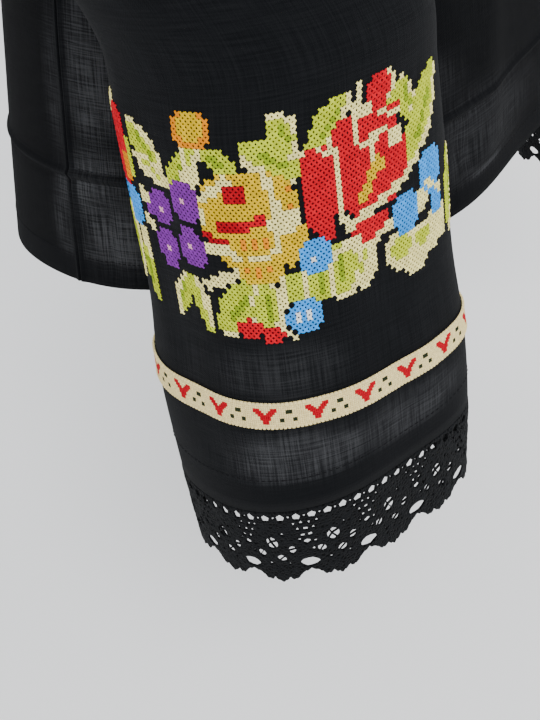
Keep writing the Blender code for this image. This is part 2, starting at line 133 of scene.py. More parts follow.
def hermite(places, values, at, each=False):
    places = np.asarray(places, float)
    values = np.asarray(values, float)
    slopes = np.gradient(values, places, axis=0)
    i = np.clip(np.searchsorted(places, at) - 1, 0, len(places) - 2)
    step = places[i + 1] - places[i]
    t = (at - places[i]) / step
    pick = (i, np.arange(len(at))) if each else (i,)
    after = (i + 1, np.arange(len(at))) if each else (i + 1,)
    if each:
        t, step = t[:, None], step[:, None]
    start = (2 * t**3 - 3 * t**2 + 1) * values[pick] + (t**3 - 2 * t**2 + t) * step * slopes[pick]
    return start + (3 * t**2 - 2 * t**3) * values[after] + (t**3 - t**2) * step * slopes[after]

def addMesh(name, points, faces, material=None):
    mesh = bpy.data.meshes.new(name)
    mesh.from_pydata([tuple(p) for p in np.asarray(points, float) * mm], [], faces)
    mesh.validate()
    if material:
        mesh.materials.append(material)
    mesh.polygons.foreach_set("use_smooth", [True] * len(mesh.polygons))
    thing = bpy.data.objects.new(name, mesh)
    bpy.context.scene.collection.objects.link(thing)
    return thing

def wallFaces(rows, columns, closed):
    inside = rows * columns
    spans = columns if closed else columns - 1
    faces = []
    def at(row, column):
        return row * columns + column % columns
    for row in range(rows - 1):
        for column in range(spans):
            quad = (at(row, column), at(row, column + 1), at(row + 1, column + 1), at(row + 1, column))
            faces.append(quad)
            faces.append(tuple(inside + corner for corner in quad[::-1]))
    for column in range(spans):
        a, b = at(0, column), at(0, column + 1)
        c, d = at(rows - 1, column), at(rows - 1, column + 1)
        faces.append((b, a, inside + a, inside + b))
        faces.append((c, d, inside + d, inside + c))
    if not closed:
        for row in range(rows - 1):
            a, b = at(row, 0), at(row + 1, 0)
            c, d = at(row, columns - 1), at(row + 1, columns - 1)
            faces.append((a, b, inside + b, inside + a))
            faces.append((d, c, inside + c, inside + d))
    return faces

def addWall(name, outer, inner, closed, material, flat=None, marks=None):
    rows, columns = outer.shape[:2]
    points = np.concatenate([outer.reshape(-1, 3), inner.reshape(-1, 3)])
    faces = wallFaces(rows, columns, closed)
    a, b, c = (points[k] for k in faces[0][:3])
    if np.dot(np.cross(b - a, c - a), points[faces[0][0]] - points[rows * columns + faces[0][0]]) < 0:
        faces = [face[::-1] for face in faces]
    piece = addMesh(name, points, faces, material)
    if flat is not None:
        both = np.concatenate([flat.reshape(-1, 2)] * 2) * mm
        layer = piece.data.attributes.new("cloth", "FLOAT2", "POINT")
        layer.data.foreach_set("vector", both.astype(np.float32).ravel())
    for mark, values in (marks or {}).items():
        layer = piece.data.attributes.new(mark, "FLOAT", "POINT")
        layer.data.foreach_set("value", np.concatenate([values.ravel()] * 2).astype(np.float32))
    return piece

# how far along a crease it rises from nothing, unless its row gives a fade of its own for the far end
creaseEase = 0.35

def creaseHeight(creases, x, y, wrap=None):
    height = np.zeros(np.shape(x))
    for crease in creases:
        (x0, y0), (x1, y1) = crease["start"], crease["end"]
        dx, dy = x - x0, y - y0
        if wrap:
            dx = (dx + wrap / 2) % wrap - wrap / 2
        length = np.hypot(x1 - x0, y1 - y0)
        ux, uy = (x1 - x0) / length, (y1 - y0) / length
        s = (dx * ux + dy * uy) / length
        bow = crease["bow"] * 4 * s * (1 - s)
        away = (-dx * uy + dy * ux - bow) / crease["width"]
        ends = np.clip(s / creaseEase, 0, 1) * np.clip((1 - s) / crease.get("fade", creaseEase), 0, 1)
        ends = ends * ends * (3 - 2 * ends)
        height += crease["rise"] * ends * np.exp(-away**2)
    return height

# The sleeve's form

sleeve = dict(
    threeTurn=-26.0, fourTurn=0.0, roundAt=360.0, clothRound=425.0, tapeAlong=360.0, tapeWidth=13.4,
    hemAlong=421.0, turnUp=17.0, step=0.8, seamLap=0.6, columns=170, roundSteps=720, rowPitch=3.0, cloth=0.55,
    hemCloth=1.1, foldCalm=25.0, hemCalm=40.0, hemReach=12.0, leastFold=0.35, hemRows=(5.0, 10.0),
    seamDark=5.0, nearly=0.1,
    rings=table(
        "along x y z turn lift rise wide deep dish three four",
        (0, -180.0, 4.0, -138.0, 0, 85.0, 0, 56.0, 92.0, 10, 0, 0),
        (20, -206.5, -0.5, -154.5, 4, 76.7, 0, 59.0, 84.8, 8, 0, 0),
        (44, -218.5, -10.0, -179.5, 10, 66.8, 0, 62.0, 73.4, 5, 0, 0),
        (74, -227.5, -26.0, -214.0, 16, 50.9, 0, 66.0, 63.1, 2, 0, 0),
        (110, -231.0, -51.0, -258.5, 22, 31.4, 1, 69.5, 56.6, 0, 0, 0),
        (155, -224.0, -79.0, -303.0, 28.5, 10.5, 3.5, 72.0, 55.3, 0, 0.01, 0),
        (192, -217.0, -98.0, -338.0, 33, 0, 5.3, 72.9, 54.6, 0, 0.02, 0.01),
        (226, -218.7, -101.8, -371.5, 33, 0, 5.3, 72.9, 54.6, 0, 0.03, 0.02),
        (260, -220.5, -105.6, -405.0, 33, 0, 5.3, 73.0, 54.7, 0, 0.038, 0.028),
        (325, -224.1, -113.0, -470.2, 33, 0, 5.3, 73.1, 54.8, 0, 0.047, 0.038),
        (360, -226.0, -117.0, -505.0, 33, 0, 5.3, 76.1, 57.0, 0, 0.047, 0.038),
        (421, -229.3, -123.8, -564.7, 33, 4.7, 12, 77.2, 57.8, 0, 0.062, 0.028),
        (467, -231.7, -128.9, -609.6, 33, 4.7, 12, 74.7, 55.9, 0, 0.062, 0.028),
    ),
    # creases run from one (share round x 425, along) to another; rise below 0 is a trough
    creases=table(
        "name start end width rise bow fade",
        ("outer drape", (96, 210), (108, 415), 15, -1.2, 4, 0.25),
        ("front drape", (48, 240), (36, 420), 12, 1.3, -3, 0.2),
        ("back drape", (168, 190), (160, 410), 14, -1.4, -5, 0.25),
        ("back ridge", (196, 150), (190, 380), 11, 1.5, 3),
        ("elbow pull", (30, 120), (-40, 205), 11, -4.0, 8),
        ("elbow pull, low", (20, 160), (-55, 245), 9, -3.0, 7),
        ("elbow ridge", (26, 140), (-50, 225), 10, 2.8, 8),
        ("inner elbow fold", (-110, 95), (-30, 150), 10, -3.6, -9),
        ("inner elbow fold, low", (-125, 130), (-60, 190), 11, -2.6, -8),
        ("upper arm drag", (120, 30), (60, 135), 13, -3.0, -7),
        ("upper arm drag, back", (170, 35), (205, 140), 13, -3.2, 9),
        ("cap ridge", (95, 25), (110, 120), 15, 1.8, 3),
        ("inner drape", (-90, 200), (-96, 412), 14, -1.8, 6, 0.25),
        ("inner ridge", (-140, 170), (-134, 360), 12, 1.6, -4),
        ("shallow cross dip", (60, 395), (190, 380), 10, -0.7, 4),
    ),
)

def sleeveForm(angle, along):
    rings = []
    up = np.array([0.0, 0.0, 1.0])
    for ring in sleeve["rings"]:
        turn, lift, rise = np.radians([ring["turn"], ring["lift"], ring["rise"]])
        out = np.array([-np.cos(turn), -np.sin(turn), 0.0])
        front = np.array([np.sin(turn), -np.cos(turn), 0.0])
        wide = front * np.cos(rise) + up * np.sin(rise)
        deep = out * np.cos(lift) + up * np.sin(lift)
        swell = 1 + ring["three"] * np.cos(3 * angle - np.radians(sleeve["threeTurn"]))
        swell = (swell + ring["four"] * np.cos(4 * angle - np.radians(sleeve["fourTurn"])))[:, None]
        centre = np.array([ring["x"], ring["y"], ring["z"]])
        around = ring["wide"] * np.cos(angle)[:, None] * wide + ring["deep"] * np.sin(angle)[:, None] * deep
        rings.append(centre + swell * around - ring["dish"] * np.cos(2 * angle)[:, None] * out)
    places = [ring["along"] for ring in sleeve["rings"]]
    return hermite(places, rings, along, each=True)

# the length round the sleeve at one place along it, from angle 0 on
def roundLengths(along):
    angles = np.linspace(0, 2 * np.pi, sleeve["roundSteps"] + 1)
    points = sleeveForm(angles, np.full(len(angles), along))
    return angles, np.concatenate([[0.0], np.cumsum(np.linalg.norm(np.diff(points, axis=0), axis=1))])

roundAngles, roundShares = roundLengths(sleeve["roundAt"])
roundShares = roundShares / roundShares[-1]

def angleOf(share):
    return np.interp(np.asarray(share) % 1.0, roundShares, roundAngles)

def sleeveFold(share, along):
    across = np.asarray(share) * sleeve["clothRound"]
    height = creaseHeight(sleeve["creases"], across, along, wrap=sleeve["clothRound"])
    fromHem = sleeve["hemAlong"] + sleeve["hemReach"] - along
    topCalm = np.clip(along / sleeve["foldCalm"], 0, 1)
    hemCalm = np.clip(fromHem / sleeve["hemCalm"], sleeve["leastFold"], 1)
    return height * (topCalm * hemCalm)

def formAndNormal(share, along, step=0.4):
    share, along = np.broadcast_arrays(np.asarray(share, float), np.asarray(along, float))
    shape = share.shape
    share, along = share.ravel(), along.ravel()
    sideways = step / sleeve["clothRound"]
    here = sleeveForm(angleOf(share), along)
    across = sleeveForm(angleOf(share + sideways), along) - sleeveForm(angleOf(share - sideways), along)
    down = sleeveForm(angleOf(share), along + step) - sleeveForm(angleOf(share), along - step)
    normal = unitRows(np.cross(across, down))
    return here.reshape(shape + (3,)), normal.reshape(shape + (3,))

def sleeveSurface(share, along, lift=0.0):
    here, normal = formAndNormal(share, along)
    return here + normal * (sleeveFold(share, along) + lift)[..., None]

def sleeveFrame(share, along, lift=0.0, step=0.6):
    sideways = step / sleeve["clothRound"]
    here = sleeveSurface(share, along, lift)
    across = sleeveSurface(share + sideways, along, lift) - sleeveSurface(share - sideways, along, lift)
    across = unitRows(across)
    down = sleeveSurface(share, along + step, lift) - sleeveSurface(share, along - step, lift)
    normal = unitRows(np.cross(across, down))
    return here, across, normal

def mirrored(points, left):
    return points * np.array([-1.0, 1.0, 1.0]) if left else points

# Cloth, thread and lace finishes

def newMaterial(name):
    material = bpy.data.materials.new(name)
    material.use_nodes = True
    return material, material.node_tree

def setInput(tree, socket, value):
    if isinstance(value, (int, float)):
        socket.default_value = value
    elif isinstance(value, tuple):
        socket.default_value = (*value, 1.0)
    else:
        tree.links.new(value, socket)

def mathNode(tree, operation, *values):
    node = tree.nodes.new("ShaderNodeMath")
    node.operation = operation
    for socket, value in zip(node.inputs, values):
        setInput(tree, socket, value)
    return node.outputs[0]

def times(tree, first, second):
    return mathNode(tree, "MULTIPLY", first, second)

def plus(tree, first, second):
    return mathNode(tree, "ADD", first, second)

# two stops, each a place and a colour, or a number for a grey
def ramp(tree, value, *stops):
    node = tree.nodes.new("ShaderNodeValToRGB")
    for element, (place, colour) in zip(node.color_ramp.elements, stops):
        element.position = place
        element.color = (*colour, 1.0) if isinstance(colour, tuple) else (colour, colour, colour, 1.0)
    tree.links.new(value, node.inputs["Fac"])
    return node.outputs["Color"]

def stretchedNoise(tree, vector, scale, detail=3.0):
    mapping = tree.nodes.new("ShaderNodeMapping")
    mapping.inputs["Scale"].default_value = scale
    tree.links.new(vector, mapping.inputs["Vector"])
    noise = tree.nodes.new("ShaderNodeTexNoise")
    noise.inputs["Scale"].default_value = 1.0
    noise.inputs["Detail"].default_value = detail
    tree.links.new(mapping.outputs["Vector"], noise.inputs["Vector"])
    return noise.outputs["Fac"]

def blend(tree, share, first, second, way="MIX"):
    node = tree.nodes.new("ShaderNodeMix")
    node.data_type = "RGBA"
    node.blend_type = way
    for socket, value in ((0, share), (6, first), (7, second)):
        setInput(tree, node.inputs[socket], value)
    return node.outputs[2]

def attribute(tree, name, output="Fac"):
    node = tree.nodes.new("ShaderNodeAttribute")
    node.attribute_name = name
    return node.outputs[output]

def objectPlace(tree):
    return tree.nodes.new("ShaderNodeTexCoord").outputs["Object"]

# relief is the height in metres that the bump stands for
def finishSurface(tree, colour, height, look):
    shader = tree.nodes["Principled BSDF"]
    tree.links.new(colour, shader.inputs["Base Color"])
    shader.inputs["Roughness"].default_value = look["roughness"]
    shader.inputs["Sheen Weight"].default_value = look["sheen"]
    shader.inputs["Specular IOR Level"].default_value = look["specular"]
    bump = tree.nodes.new("ShaderNodeBump")
    bump.inputs["Strength"].default_value = look["bump"]
    bump.inputs["Distance"].default_value = look["relief"]
    tree.links.new(height, bump.inputs["Height"])
    tree.links.new(bump.outputs["Normal"], shader.inputs["Normal"])

# The pale grey third colour is painted light: laid on in patches, it stands for light shining through the
# thin black gauze from behind
gauze = dict(
    dark=(0.0030, 0.0034, 0.0042), mid=(0.0068, 0.0073, 0.0084), paintedBacklight=(0.042, 0.043, 0.046),
    double=(0.0032, 0.0036, 0.0044), doubleShare=0.7, downStreak=(1150.0, 34.0, 1.0),
    acrossStreak=(40.0, 1050.0, 1.0), cloud=(28.0, 22.0, 1.0), downSlub=0.55, acrossSlub=0.45,
    threadsPerMetre=2100.0, weaveHeight=0.4, streakHeight=2.2, roughness=0.9, specular=0.05, sheen=0.02,
    bump=0.5, relief=0.0004,
)

# shade below 1 makes the cloth darker and less glossy: a painted shade, used for the body panels' copy of the
# same gauze as the sleeves
def gauzeMaterial(name, shade=1.0):
    material, tree = newMaterial(name)
    cloth = attribute(tree, "cloth", "Vector")
    down = stretchedNoise(tree, cloth, gauze["downStreak"])
    across = stretchedNoise(tree, cloth, gauze["acrossStreak"])
    clouds = stretchedNoise(tree, cloth, gauze["cloud"], 4.0)
    streaks = times(tree, plus(tree, down, across), 0.5)
    dark, mid = (tuple(part * shade for part in gauze[tone]) for tone in ("dark", "mid"))
    base = ramp(tree, streaks, (0.38, dark), (0.64, mid))
    slubs = plus(tree, times(tree, down, gauze["downSlub"]), times(tree, across, gauze["acrossSlub"]))
    slub = ramp(tree, slubs, (0.42, 0.2), (0.6, 1.0))
    # patches of painted light from behind, mottled by clouds and thread slubs
    backlightPatches = times(tree, attribute(tree, "paintedBacklight"), ramp(tree, clouds, (0.3, 0.35), (0.62, 1.0)))
    colour = blend(tree, times(tree, backlightPatches, slub), base, gauze["paintedBacklight"])
    layers = times(tree, attribute(tree, "double"), gauze["doubleShare"])
    colour = blend(tree, layers, colour, gauze["double"])
    split = tree.nodes.new("ShaderNodeSeparateXYZ")
    tree.links.new(cloth, split.inputs[0])
    pace = gauze["threadsPerMetre"] * np.pi
    warp = mathNode(tree, "SINE", times(tree, split.outputs["X"], pace))
    weft = mathNode(tree, "SINE", times(tree, split.outputs["Y"], pace))
    weave = times(tree, times(tree, warp, weft), gauze["weaveHeight"])
    height = plus(tree, weave, times(tree, streaks, gauze["streakHeight"]))
    look = dict(gauze, sheen=gauze["sheen"] * shade, specular=gauze["specular"] * shade)
    finishSurface(tree, colour, height, look)
    return material

# thread and tape of one colour, from dark to light
def plainThread(name, dark, light, grain=2600.0, **look):
    material, tree = newMaterial(name)
    fibres = stretchedNoise(tree, objectPlace(tree), (grain, grain, grain * 0.6), 2.0)
    colour = ramp(tree, fibres, (0.35, dark), (0.68, light))
    finishSurface(tree, colour, fibres, dict(bump=0.5, relief=0.0003, **look))
    return material

# the colour of each stitch or block is kept in its attribute "thread"
def colouredThread(name, grain, roughness):
    material, tree = newMaterial(name)
    fibres = stretchedNoise(tree, objectPlace(tree), (grain, grain, grain), 2.0)
    shade = ramp(tree, fibres, (0.3, 0.74), (0.66, 1.0))
    colour = blend(tree, 1.0, attribute(tree, "thread", "Color"), shade, "MULTIPLY")
    look = dict(roughness=roughness, sheen=0.0, specular=0.1, bump=0.4, relief=0.0003)
    finishSurface(tree, colour, fibres, look)
    return material

laceLook = dict(
    meshesPerMetre=520.0, randomness=0.75, fineness=3.4, twist=(1700.0, 1700.0, 1.0),
    gap=(0.0008, 0.0009, 0.0011), thread=(0.0062, 0.0068, 0.0078),
    roughness=0.88, sheen=0.02, specular=0.06, bump=0.9, relief=0.0007,
)

def laceMaterial(name, look):
    material, tree = newMaterial(name)
    cloth = attribute(tree, "cloth", "Vector")
    net = tree.nodes.new("ShaderNodeTexVoronoi")
    net.feature = "DISTANCE_TO_EDGE"
    net.inputs["Scale"].default_value = look["meshesPerMetre"]
    net.inputs["Randomness"].default_value = look["randomness"]
    tree.links.new(cloth, net.inputs["Vector"])
    thread = mathNode(tree, "SUBTRACT", 1.0, times(tree, net.outputs["Distance"], look["fineness"]))
    twist = stretchedNoise(tree, cloth, look["twist"], 2.0)
    # the net's small holes are painted near-black, a painted shade for the dark seen through them
    colour = ramp(tree, thread, (0.1, look["gap"]), (0.75, look["thread"]))
    finishSurface(tree, colour, plus(tree, thread, times(tree, twist, 0.5)), look)
    return material

sleeveGauze = gauzeMaterial("black sleeve gauze")
# the body's copy of the sleeve gauze, painted darker as painted shade
bodyGauzePaintedDarker = gauzeMaterial("black body gauze", 0.6)
laceCotton = laceMaterial("black lace cotton", laceLook)
bindingCloth = plainThread("black binding", (0.004, 0.004, 0.005), (0.009, 0.009, 0.010), 2200.0,
                           roughness=0.85, sheen=0.03, specular=0.08)
blackThread = plainThread("black sewing thread", (0.003, 0.003, 0.004), (0.008, 0.008, 0.009),
                          roughness=0.8, sheen=0.0, specular=0.08)
creamTape = plainThread("cream woven tape", (0.50, 0.47, 0.26), (0.66, 0.63, 0.36), 1800.0,
                        roughness=0.85, sheen=0.1, specular=0.2)
stitchThread = colouredThread("coloured stitching thread", 3200.0, 0.75)
tapeThread = colouredThread("woven tape thread", 2600.0, 0.8)
print("finishes made")

# Small shapes and the tree that sets copies of one on a cloud of points

def shapeMesh(name, points, faces):
    shape = addMesh(name, points, faces)
    bpy.context.scene.collection.objects.unlink(shape)
    return shape

# two crossed threads, each arched over its middle; rises gives how high each arch stands
def crossShape(wide, high, half, thick, rises, spans=4, sunk=0.1):
    profile = ((-1.0, 0.0), (-0.5, thick), (0.5, thick), (1.0, 0.0))
    points, faces = [], []
    for lean, rise in zip((1, -1), rises):
        start = len(points)
        along = np.array([wide / 2, lean * high / 2])
        side = np.array([-along[1], along[0]]) / np.hypot(*along)
        for share in np.linspace(0, 1, spans + 1):
            arch = np.sin(np.pi * share)**0.6 * rise
            reach = half * (0.6 + 0.4 * np.sin(np.pi * share))
            middle = along * (2 * share - 1)
            for out, lift in profile:
                points.append((*(middle + side * out * reach), arch + lift - sunk))
        row = len(profile)
        for span in range(spans):
            for edge in range(row - 1):
                corner = start + row * span + edge
                faces.append((corner + 1, corner + row + 1, corner + row, corner))
    return shapeMesh("cross stitch", points, faces)

def blockShape(name, inset=0.3):
    outer = [(-0.5, -0.5), (0.5, -0.5), (0.5, 0.5), (-0.5, 0.5)]
    points = [(x, y, 0.0) for x, y in outer] + [(x * (1 - inset), y * (1 - inset), 1.0) for x, y in outer]
    faces = [(i, (i + 1) % 4, 4 + (i + 1) % 4, 4 + i) for i in range(4)] + [(4, 5, 6, 7)]
    return shapeMesh(name, points, faces)

def copyTree():
    tree = bpy.data.node_groups.new("copies on points", "GeometryNodeTree")
    sockets = dict(Geometry="Geometry", Shape="Object", Finish="Material", Unevenness="Float", Seed="Int")
    for name, kind in sockets.items():
        tree.interface.new_socket(name, in_out="INPUT", socket_type="NodeSocket" + kind)
    tree.interface.new_socket("Geometry", in_out="OUTPUT", socket_type="NodeSocketGeometry")
    nodes, links = tree.nodes, tree.links
    given = nodes.new("NodeGroupInput")
    shape = nodes.new("GeometryNodeObjectInfo")
    links.new(given.outputs["Shape"], shape.inputs["Object"])
    stored = {}
    for name in ("turn", "size"):
        stored[name] = nodes.new("GeometryNodeInputNamedAttribute")
        stored[name].data_type = "FLOAT_VECTOR"
        stored[name].inputs["Name"].default_value = name
    # each copy's size is drawn from 1 less and 1 more the unevenness
    uneven = nodes.new("FunctionNodeRandomValue")
    uneven.data_type = "FLOAT"
    for operation, limit in (("SUBTRACT", 2), ("ADD", 3)):
        total = nodes.new("ShaderNodeMath")
        total.operation = operation
        total.inputs[0].default_value = 1.0
        links.new(given.outputs["Unevenness"], total.inputs[1])
        links.new(total.outputs[0], uneven.inputs[limit])
    links.new(given.outputs["Seed"], uneven.inputs["Seed"])
    scaled = nodes.new("ShaderNodeVectorMath")
    scaled.operation = "SCALE"
    links.new(stored["size"].outputs[0], scaled.inputs[0])
    links.new(uneven.outputs[1], scaled.inputs["Scale"])
    copies = nodes.new("GeometryNodeInstanceOnPoints")
    links.new(given.outputs["Geometry"], copies.inputs["Points"])
    links.new(shape.outputs["Geometry"], copies.inputs["Instance"])
    links.new(stored["turn"].outputs[0], copies.inputs["Rotation"])
    links.new(scaled.outputs[0], copies.inputs["Scale"])
    real = nodes.new("GeometryNodeRealizeInstances")
    links.new(copies.outputs[0], real.inputs[0])
    finish = nodes.new("GeometryNodeSetMaterial")
    links.new(real.outputs[0], finish.inputs["Geometry"])
    links.new(given.outputs["Finish"], finish.inputs["Material"])
    result = nodes.new("NodeGroupOutput")
    links.new(finish.outputs[0], result.inputs["Geometry"])
    return tree

copiesOnPoints = copyTree()

def setCopies(name, shape, places, axes, sizes, colours, material, unevenness, seed):
    cloud = bpy.data.meshes.new(name + " points")
    cloud.from_pydata([tuple(p) for p in places * mm], [], [])
    turns = [Matrix(frameOf.T.tolist()).to_euler() for frameOf in axes]
    threads = np.concatenate([colours, np.ones((len(colours), 1))], axis=1)
    stored = (("turn", "FLOAT_VECTOR", "vector", np.array(turns)), ("size", "FLOAT_VECTOR", "vector", sizes),
              ("thread", "FLOAT_COLOR", "color", threads))
    for label, kind, field, values in stored:
        cloud.attributes.new(label, kind, "POINT").data.foreach_set(field, values.astype(np.float32).ravel())
    holder = bpy.data.objects.new(name + " points", cloud)
    bpy.context.scene.collection.objects.link(holder)
    modifier = holder.modifiers.new("copies", "NODES")
    modifier.node_group = copiesOnPoints
    given = dict(Shape=shape, Finish=material, Unevenness=unevenness, Seed=seed)
    for item in copiesOnPoints.interface.items_tree:
        if item.in_out == "INPUT" and item.name in given:
            modifier[item.identifier] = given[item.name]
    holder.update_tag()
    bpy.context.view_layer.update()
    evaluated = holder.evaluated_get(bpy.context.evaluated_depsgraph_get())
    mesh = bpy.data.meshes.new_from_object(evaluated)
    mesh.name = name
    bpy.data.objects.remove(holder)
    piece = bpy.data.objects.new(name, mesh)
    bpy.context.scene.collection.objects.link(piece)
    return piece

def sleevePlaces(share, along, lift, left):
    here, across, normal = sleeveFrame(share, along, lift)
    if left:
        here, across, normal = mirrored(here, True), -mirrored(across, True), mirrored(normal, True)
    return here, np.stack([across, np.cross(normal, across), normal], axis=1)

def threadShades(colours, spread, seed):
    shade = np.random.default_rng(seed).uniform(1 - spread, 1 + spread, (len(colours), 1))
    return (np.asarray(colours) * shade).clip(0, 1)

stitchCross = crossShape(2.5, 2.75, 0.66, 0.36, (0.16, 0.42))
smallBlock = blockShape("woven block")
longStitch = blockShape("running stitch", 0.4)

# Sleeves

# where painted light from behind shows through the sleeve gauze as paler patches
sleevePaintedBacklight = table(
    "at size amount",
    ((0.28, 338), (0.075, 15), 0.40),
    ((0.27, 388), (0.085, 15), 1.5),
    ((0.12, 388), (0.08, 15), 0.8),
    ((0.40, 300), (0.03, 60), 0.18),
    ((0.62, 345), (0.07, 20), 0.6),
    ((0.80, 386), (0.08, 15), 0.9),
    ((0.70, 180), (0.10, 40), 0.35),
)

def patchAmount(patches, x, y, wrap=None):
    amount = np.zeros(np.shape(x))
    for patch in patches:
        dx = x - patch["at"][0]
        if wrap:
            dx = (dx + wrap / 2) % wrap - wrap / 2
        away = (dx / patch["size"][0])**2 + ((y - patch["at"][1]) / patch["size"][1])**2
        amount = np.maximum(amount, patch["amount"] * np.exp(-away**2))
    return amount

def makeSleeve(name, left):
    stepTop = sleeve["hemAlong"] - sleeve["turnUp"]
    plainRows = np.arange(0.0, stepTop - 2 * sleeve["step"], sleeve["rowPitch"])
    hemRows = [stepTop - sleeve["step"], stepTop, *(stepTop + down for down in sleeve["hemRows"])]
    along = np.concatenate([plainRows, hemRows, [sleeve["hemAlong"]]])
    share = np.arange(sleeve["columns"]) / sleeve["columns"]
    shares, alongs = np.meshgrid(share, along)
    grid = sleeveSurface(shares, alongs)
    grid[0, :, 0] += sleeve["seamLap"]
    turnedUp = alongs >= stepTop - sleeve["nearly"]
    thickness = np.where(turnedUp, sleeve["hemCloth"], sleeve["cloth"])
    _, normal = formAndNormal(shares, alongs)
    normal[0, :, 0] = 0.0
    inner = grid - unitRows(normal) * thickness[..., None]
    flat = np.stack([shares * sleeve["clothRound"], alongs], axis=-1)
    marks = dict(paintedBacklight=patchAmount(sleevePaintedBacklight, shares, alongs, 1.0),
                 double=(turnedUp | (alongs < sleeve["seamDark"])).astype(float))
    return addWall(name, mirrored(grid, left), mirrored(inner, left), True, sleeveGauze, flat, marks)

sleeves = {side: makeSleeve("sleeve_cloth_" + side, side == "left") for side in ("right", "left")}
print("sleeves made")

# Body

body = dict(
    columns=96, seamColumns=(0.0, 0.9, 1.8, 2.8, 4.0, 5.5, 7.5), seamRise=1.1, seamWide=2.4, seamDark=4.6,
    tuckAt=-456.0, tuckRise=1.7, tuckWide=2.1, tuckDark=3.6, underTuck=-4.2, underDeep=0.5, underWide=1.8,
    tuckRows=(-8, -5.5, -4, -2.8, -1.8, -0.9, 0, 0.9, 1.8, 2.8, 4, 5.5, 8), rowClear=1.5,
    neckHalf=80.0, neckY=6.0, neckZ=-4.0, frontReach=70.0, frontDrop=76.0, backReach=52.0, backDrop=20.0,
    neckShare=0.6, armRows=54, rowPitch=4.0, cloth=0.55, hemCloth=1.1, turnUp=13.0, step=0.8,
    frontRound=2.0, backRound=2.8, pull=2.6, roundMm=306.0, sideCalm=0.12, topCalm=60.0, seamCalm=30.0,
    seamMiddle=1.4, shoulderDark=-4.0, hemRows=(4.5, 9.0), nearly=0.1,
    rings=table(
        "z half y front back rise seam folds",
        (-521.0, 217.0, 16.0, 166.0, 176.0, 7.0, 7.0, 1.0),
        (-430.0, 204.0, 15.0, 156.0, 168.0, 4.0, 9.0, 0.7),
        (-338.0, 191.0, 13.0, 144.0, 158.0, 1.0, 9.0, 0.35),
        (-290.0, 185.0, 10.0, 136.0, 149.0, 0.2, 5.0, 0.15),
        (-230.0, 182.0, 4.0, 126.0, 138.0, 0.0, 0.0, 0.0),
    ),
    flutes=table(
        "front turn spread out",
        (True, 30.0, 20.0, -7.0),
        (True, 66.0, 13.0, 7.0),
        (True, 90.0, 12.0, -4.0),
        (False, 24.0, 13.0, 4.0),
        (False, 50.0, 12.0, -6.0),
        (False, 74.0, 12.0, 6.0),
    ),
    frontCreases=table(
        "start end width rise bow fade",
        ((-235, -330), (-120, -440), 13, -3.2, 10),
        ((-215, -300), (-85, -400), 10, 2.4, 9),
        ((-255, -400), (-170, -500), 10, 1.8, -6),
        ((240, -320), (130, -430), 13, -3.0, -9),
        ((210, -290), (95, -385), 10, 2.2, -8),
        ((-150, -110), (-70, -235), 14, -3.0, -8),
        ((155, -105), (60, -240), 13, -3.2, 9),
        ((-30, -300), (-45, -510), 13, 2.2, 5, 0.1),
        ((60, -330), (72, -515), 12, -2.0, -6, 0.1),
        ((5, -130), (18, -300), 17, -1.6, 6),
        ((-80, -459), (-60, -507), 5, -2.2, 3),
        ((-284, -461), (-280, -520), 4, -2.8, 2, 0.1),
    ),
    backCreases=table(
        "start end width rise bow fade",
        ((-240, -320), (-120, -430), 13, -3.0, 9),
        ((235, -310), (110, -425), 14, -3.2, -10),
        ((-160, -120), (-60, -220), 13, -2.8, -8),
        ((165, -115), (75, -225), 13, -2.6, 8),
        ((-20, -260), (-34, -512), 14, 2.4, 6, 0.1),
        ((84, -340), (95, -514), 12, 2.0, -5, 0.1),
        ((-110, -350), (-118, -515), 12, -2.2, 4, 0.1),
        ((30, -90), (22, -230), 18, -1.8, -5),
    ),
)

def bodyRing(front, turns, z):
    heights = [ring["z"] for ring in body["rings"]]
    def at(column):
        return hermite(heights, [ring[column] for ring in body["rings"]], z)
    seam = at("seam") / 90.0
    side = np.radians(turns * (1 + seam if front else 1 - seam))
    forward = np.cos(side) if front else -np.cos(side)
    depth = np.where(forward >= 0, at("front"), at("back"))
    fold = np.zeros(len(turns))
    for flute in body["flutes"]:
        if flute["front"] == front:
            away = (90.0 - np.abs(turns) - flute["turn"]) / flute["spread"]
            fold += flute["out"] * at("folds") * np.exp(-away**2)
    fold = fold * np.sqrt(np.cos(np.radians(turns)).clip(0.0))
    x = (at("half") + fold) * np.sin(side)
    reach = -(depth + fold) * forward
    return np.stack([x, at("y") + reach, z - np.tan(np.radians(at("rise"))) * reach], axis=-1)

def topEdge(front, columns):
    reach = -body["frontReach"] if front else body["backReach"]
    drop = body["frontDrop"] if front else body["backDrop"]
    shoulder = sleeveForm(np.array([np.pi / 2]), np.array([0.0]))[0]
    side = np.array([-body["neckHalf"], body["neckY"], body["neckZ"]])
    turn = np.pi / 2 * np.clip(columns / body["neckShare"], -1, 1)
    dip = np.cos(turn).clip(0.0)
    neckX, neckY = body["neckHalf"] * np.sin(turn), body["neckY"] + reach * dip
    neck = np.stack([neckX, neckY, body["neckZ"] - drop * dip**2], axis=-1)
    share = ((np.abs(columns) - body["neckShare"]) / (1 - body["neckShare"])).clip(0.0)[:, None]
    slope = side + share * (shoulder - side)
    slope[:, 0] *= -np.sign(columns)
    return np.where(np.abs(columns)[:, None] <= body["neckShare"] + 1e-9, neck, slope)

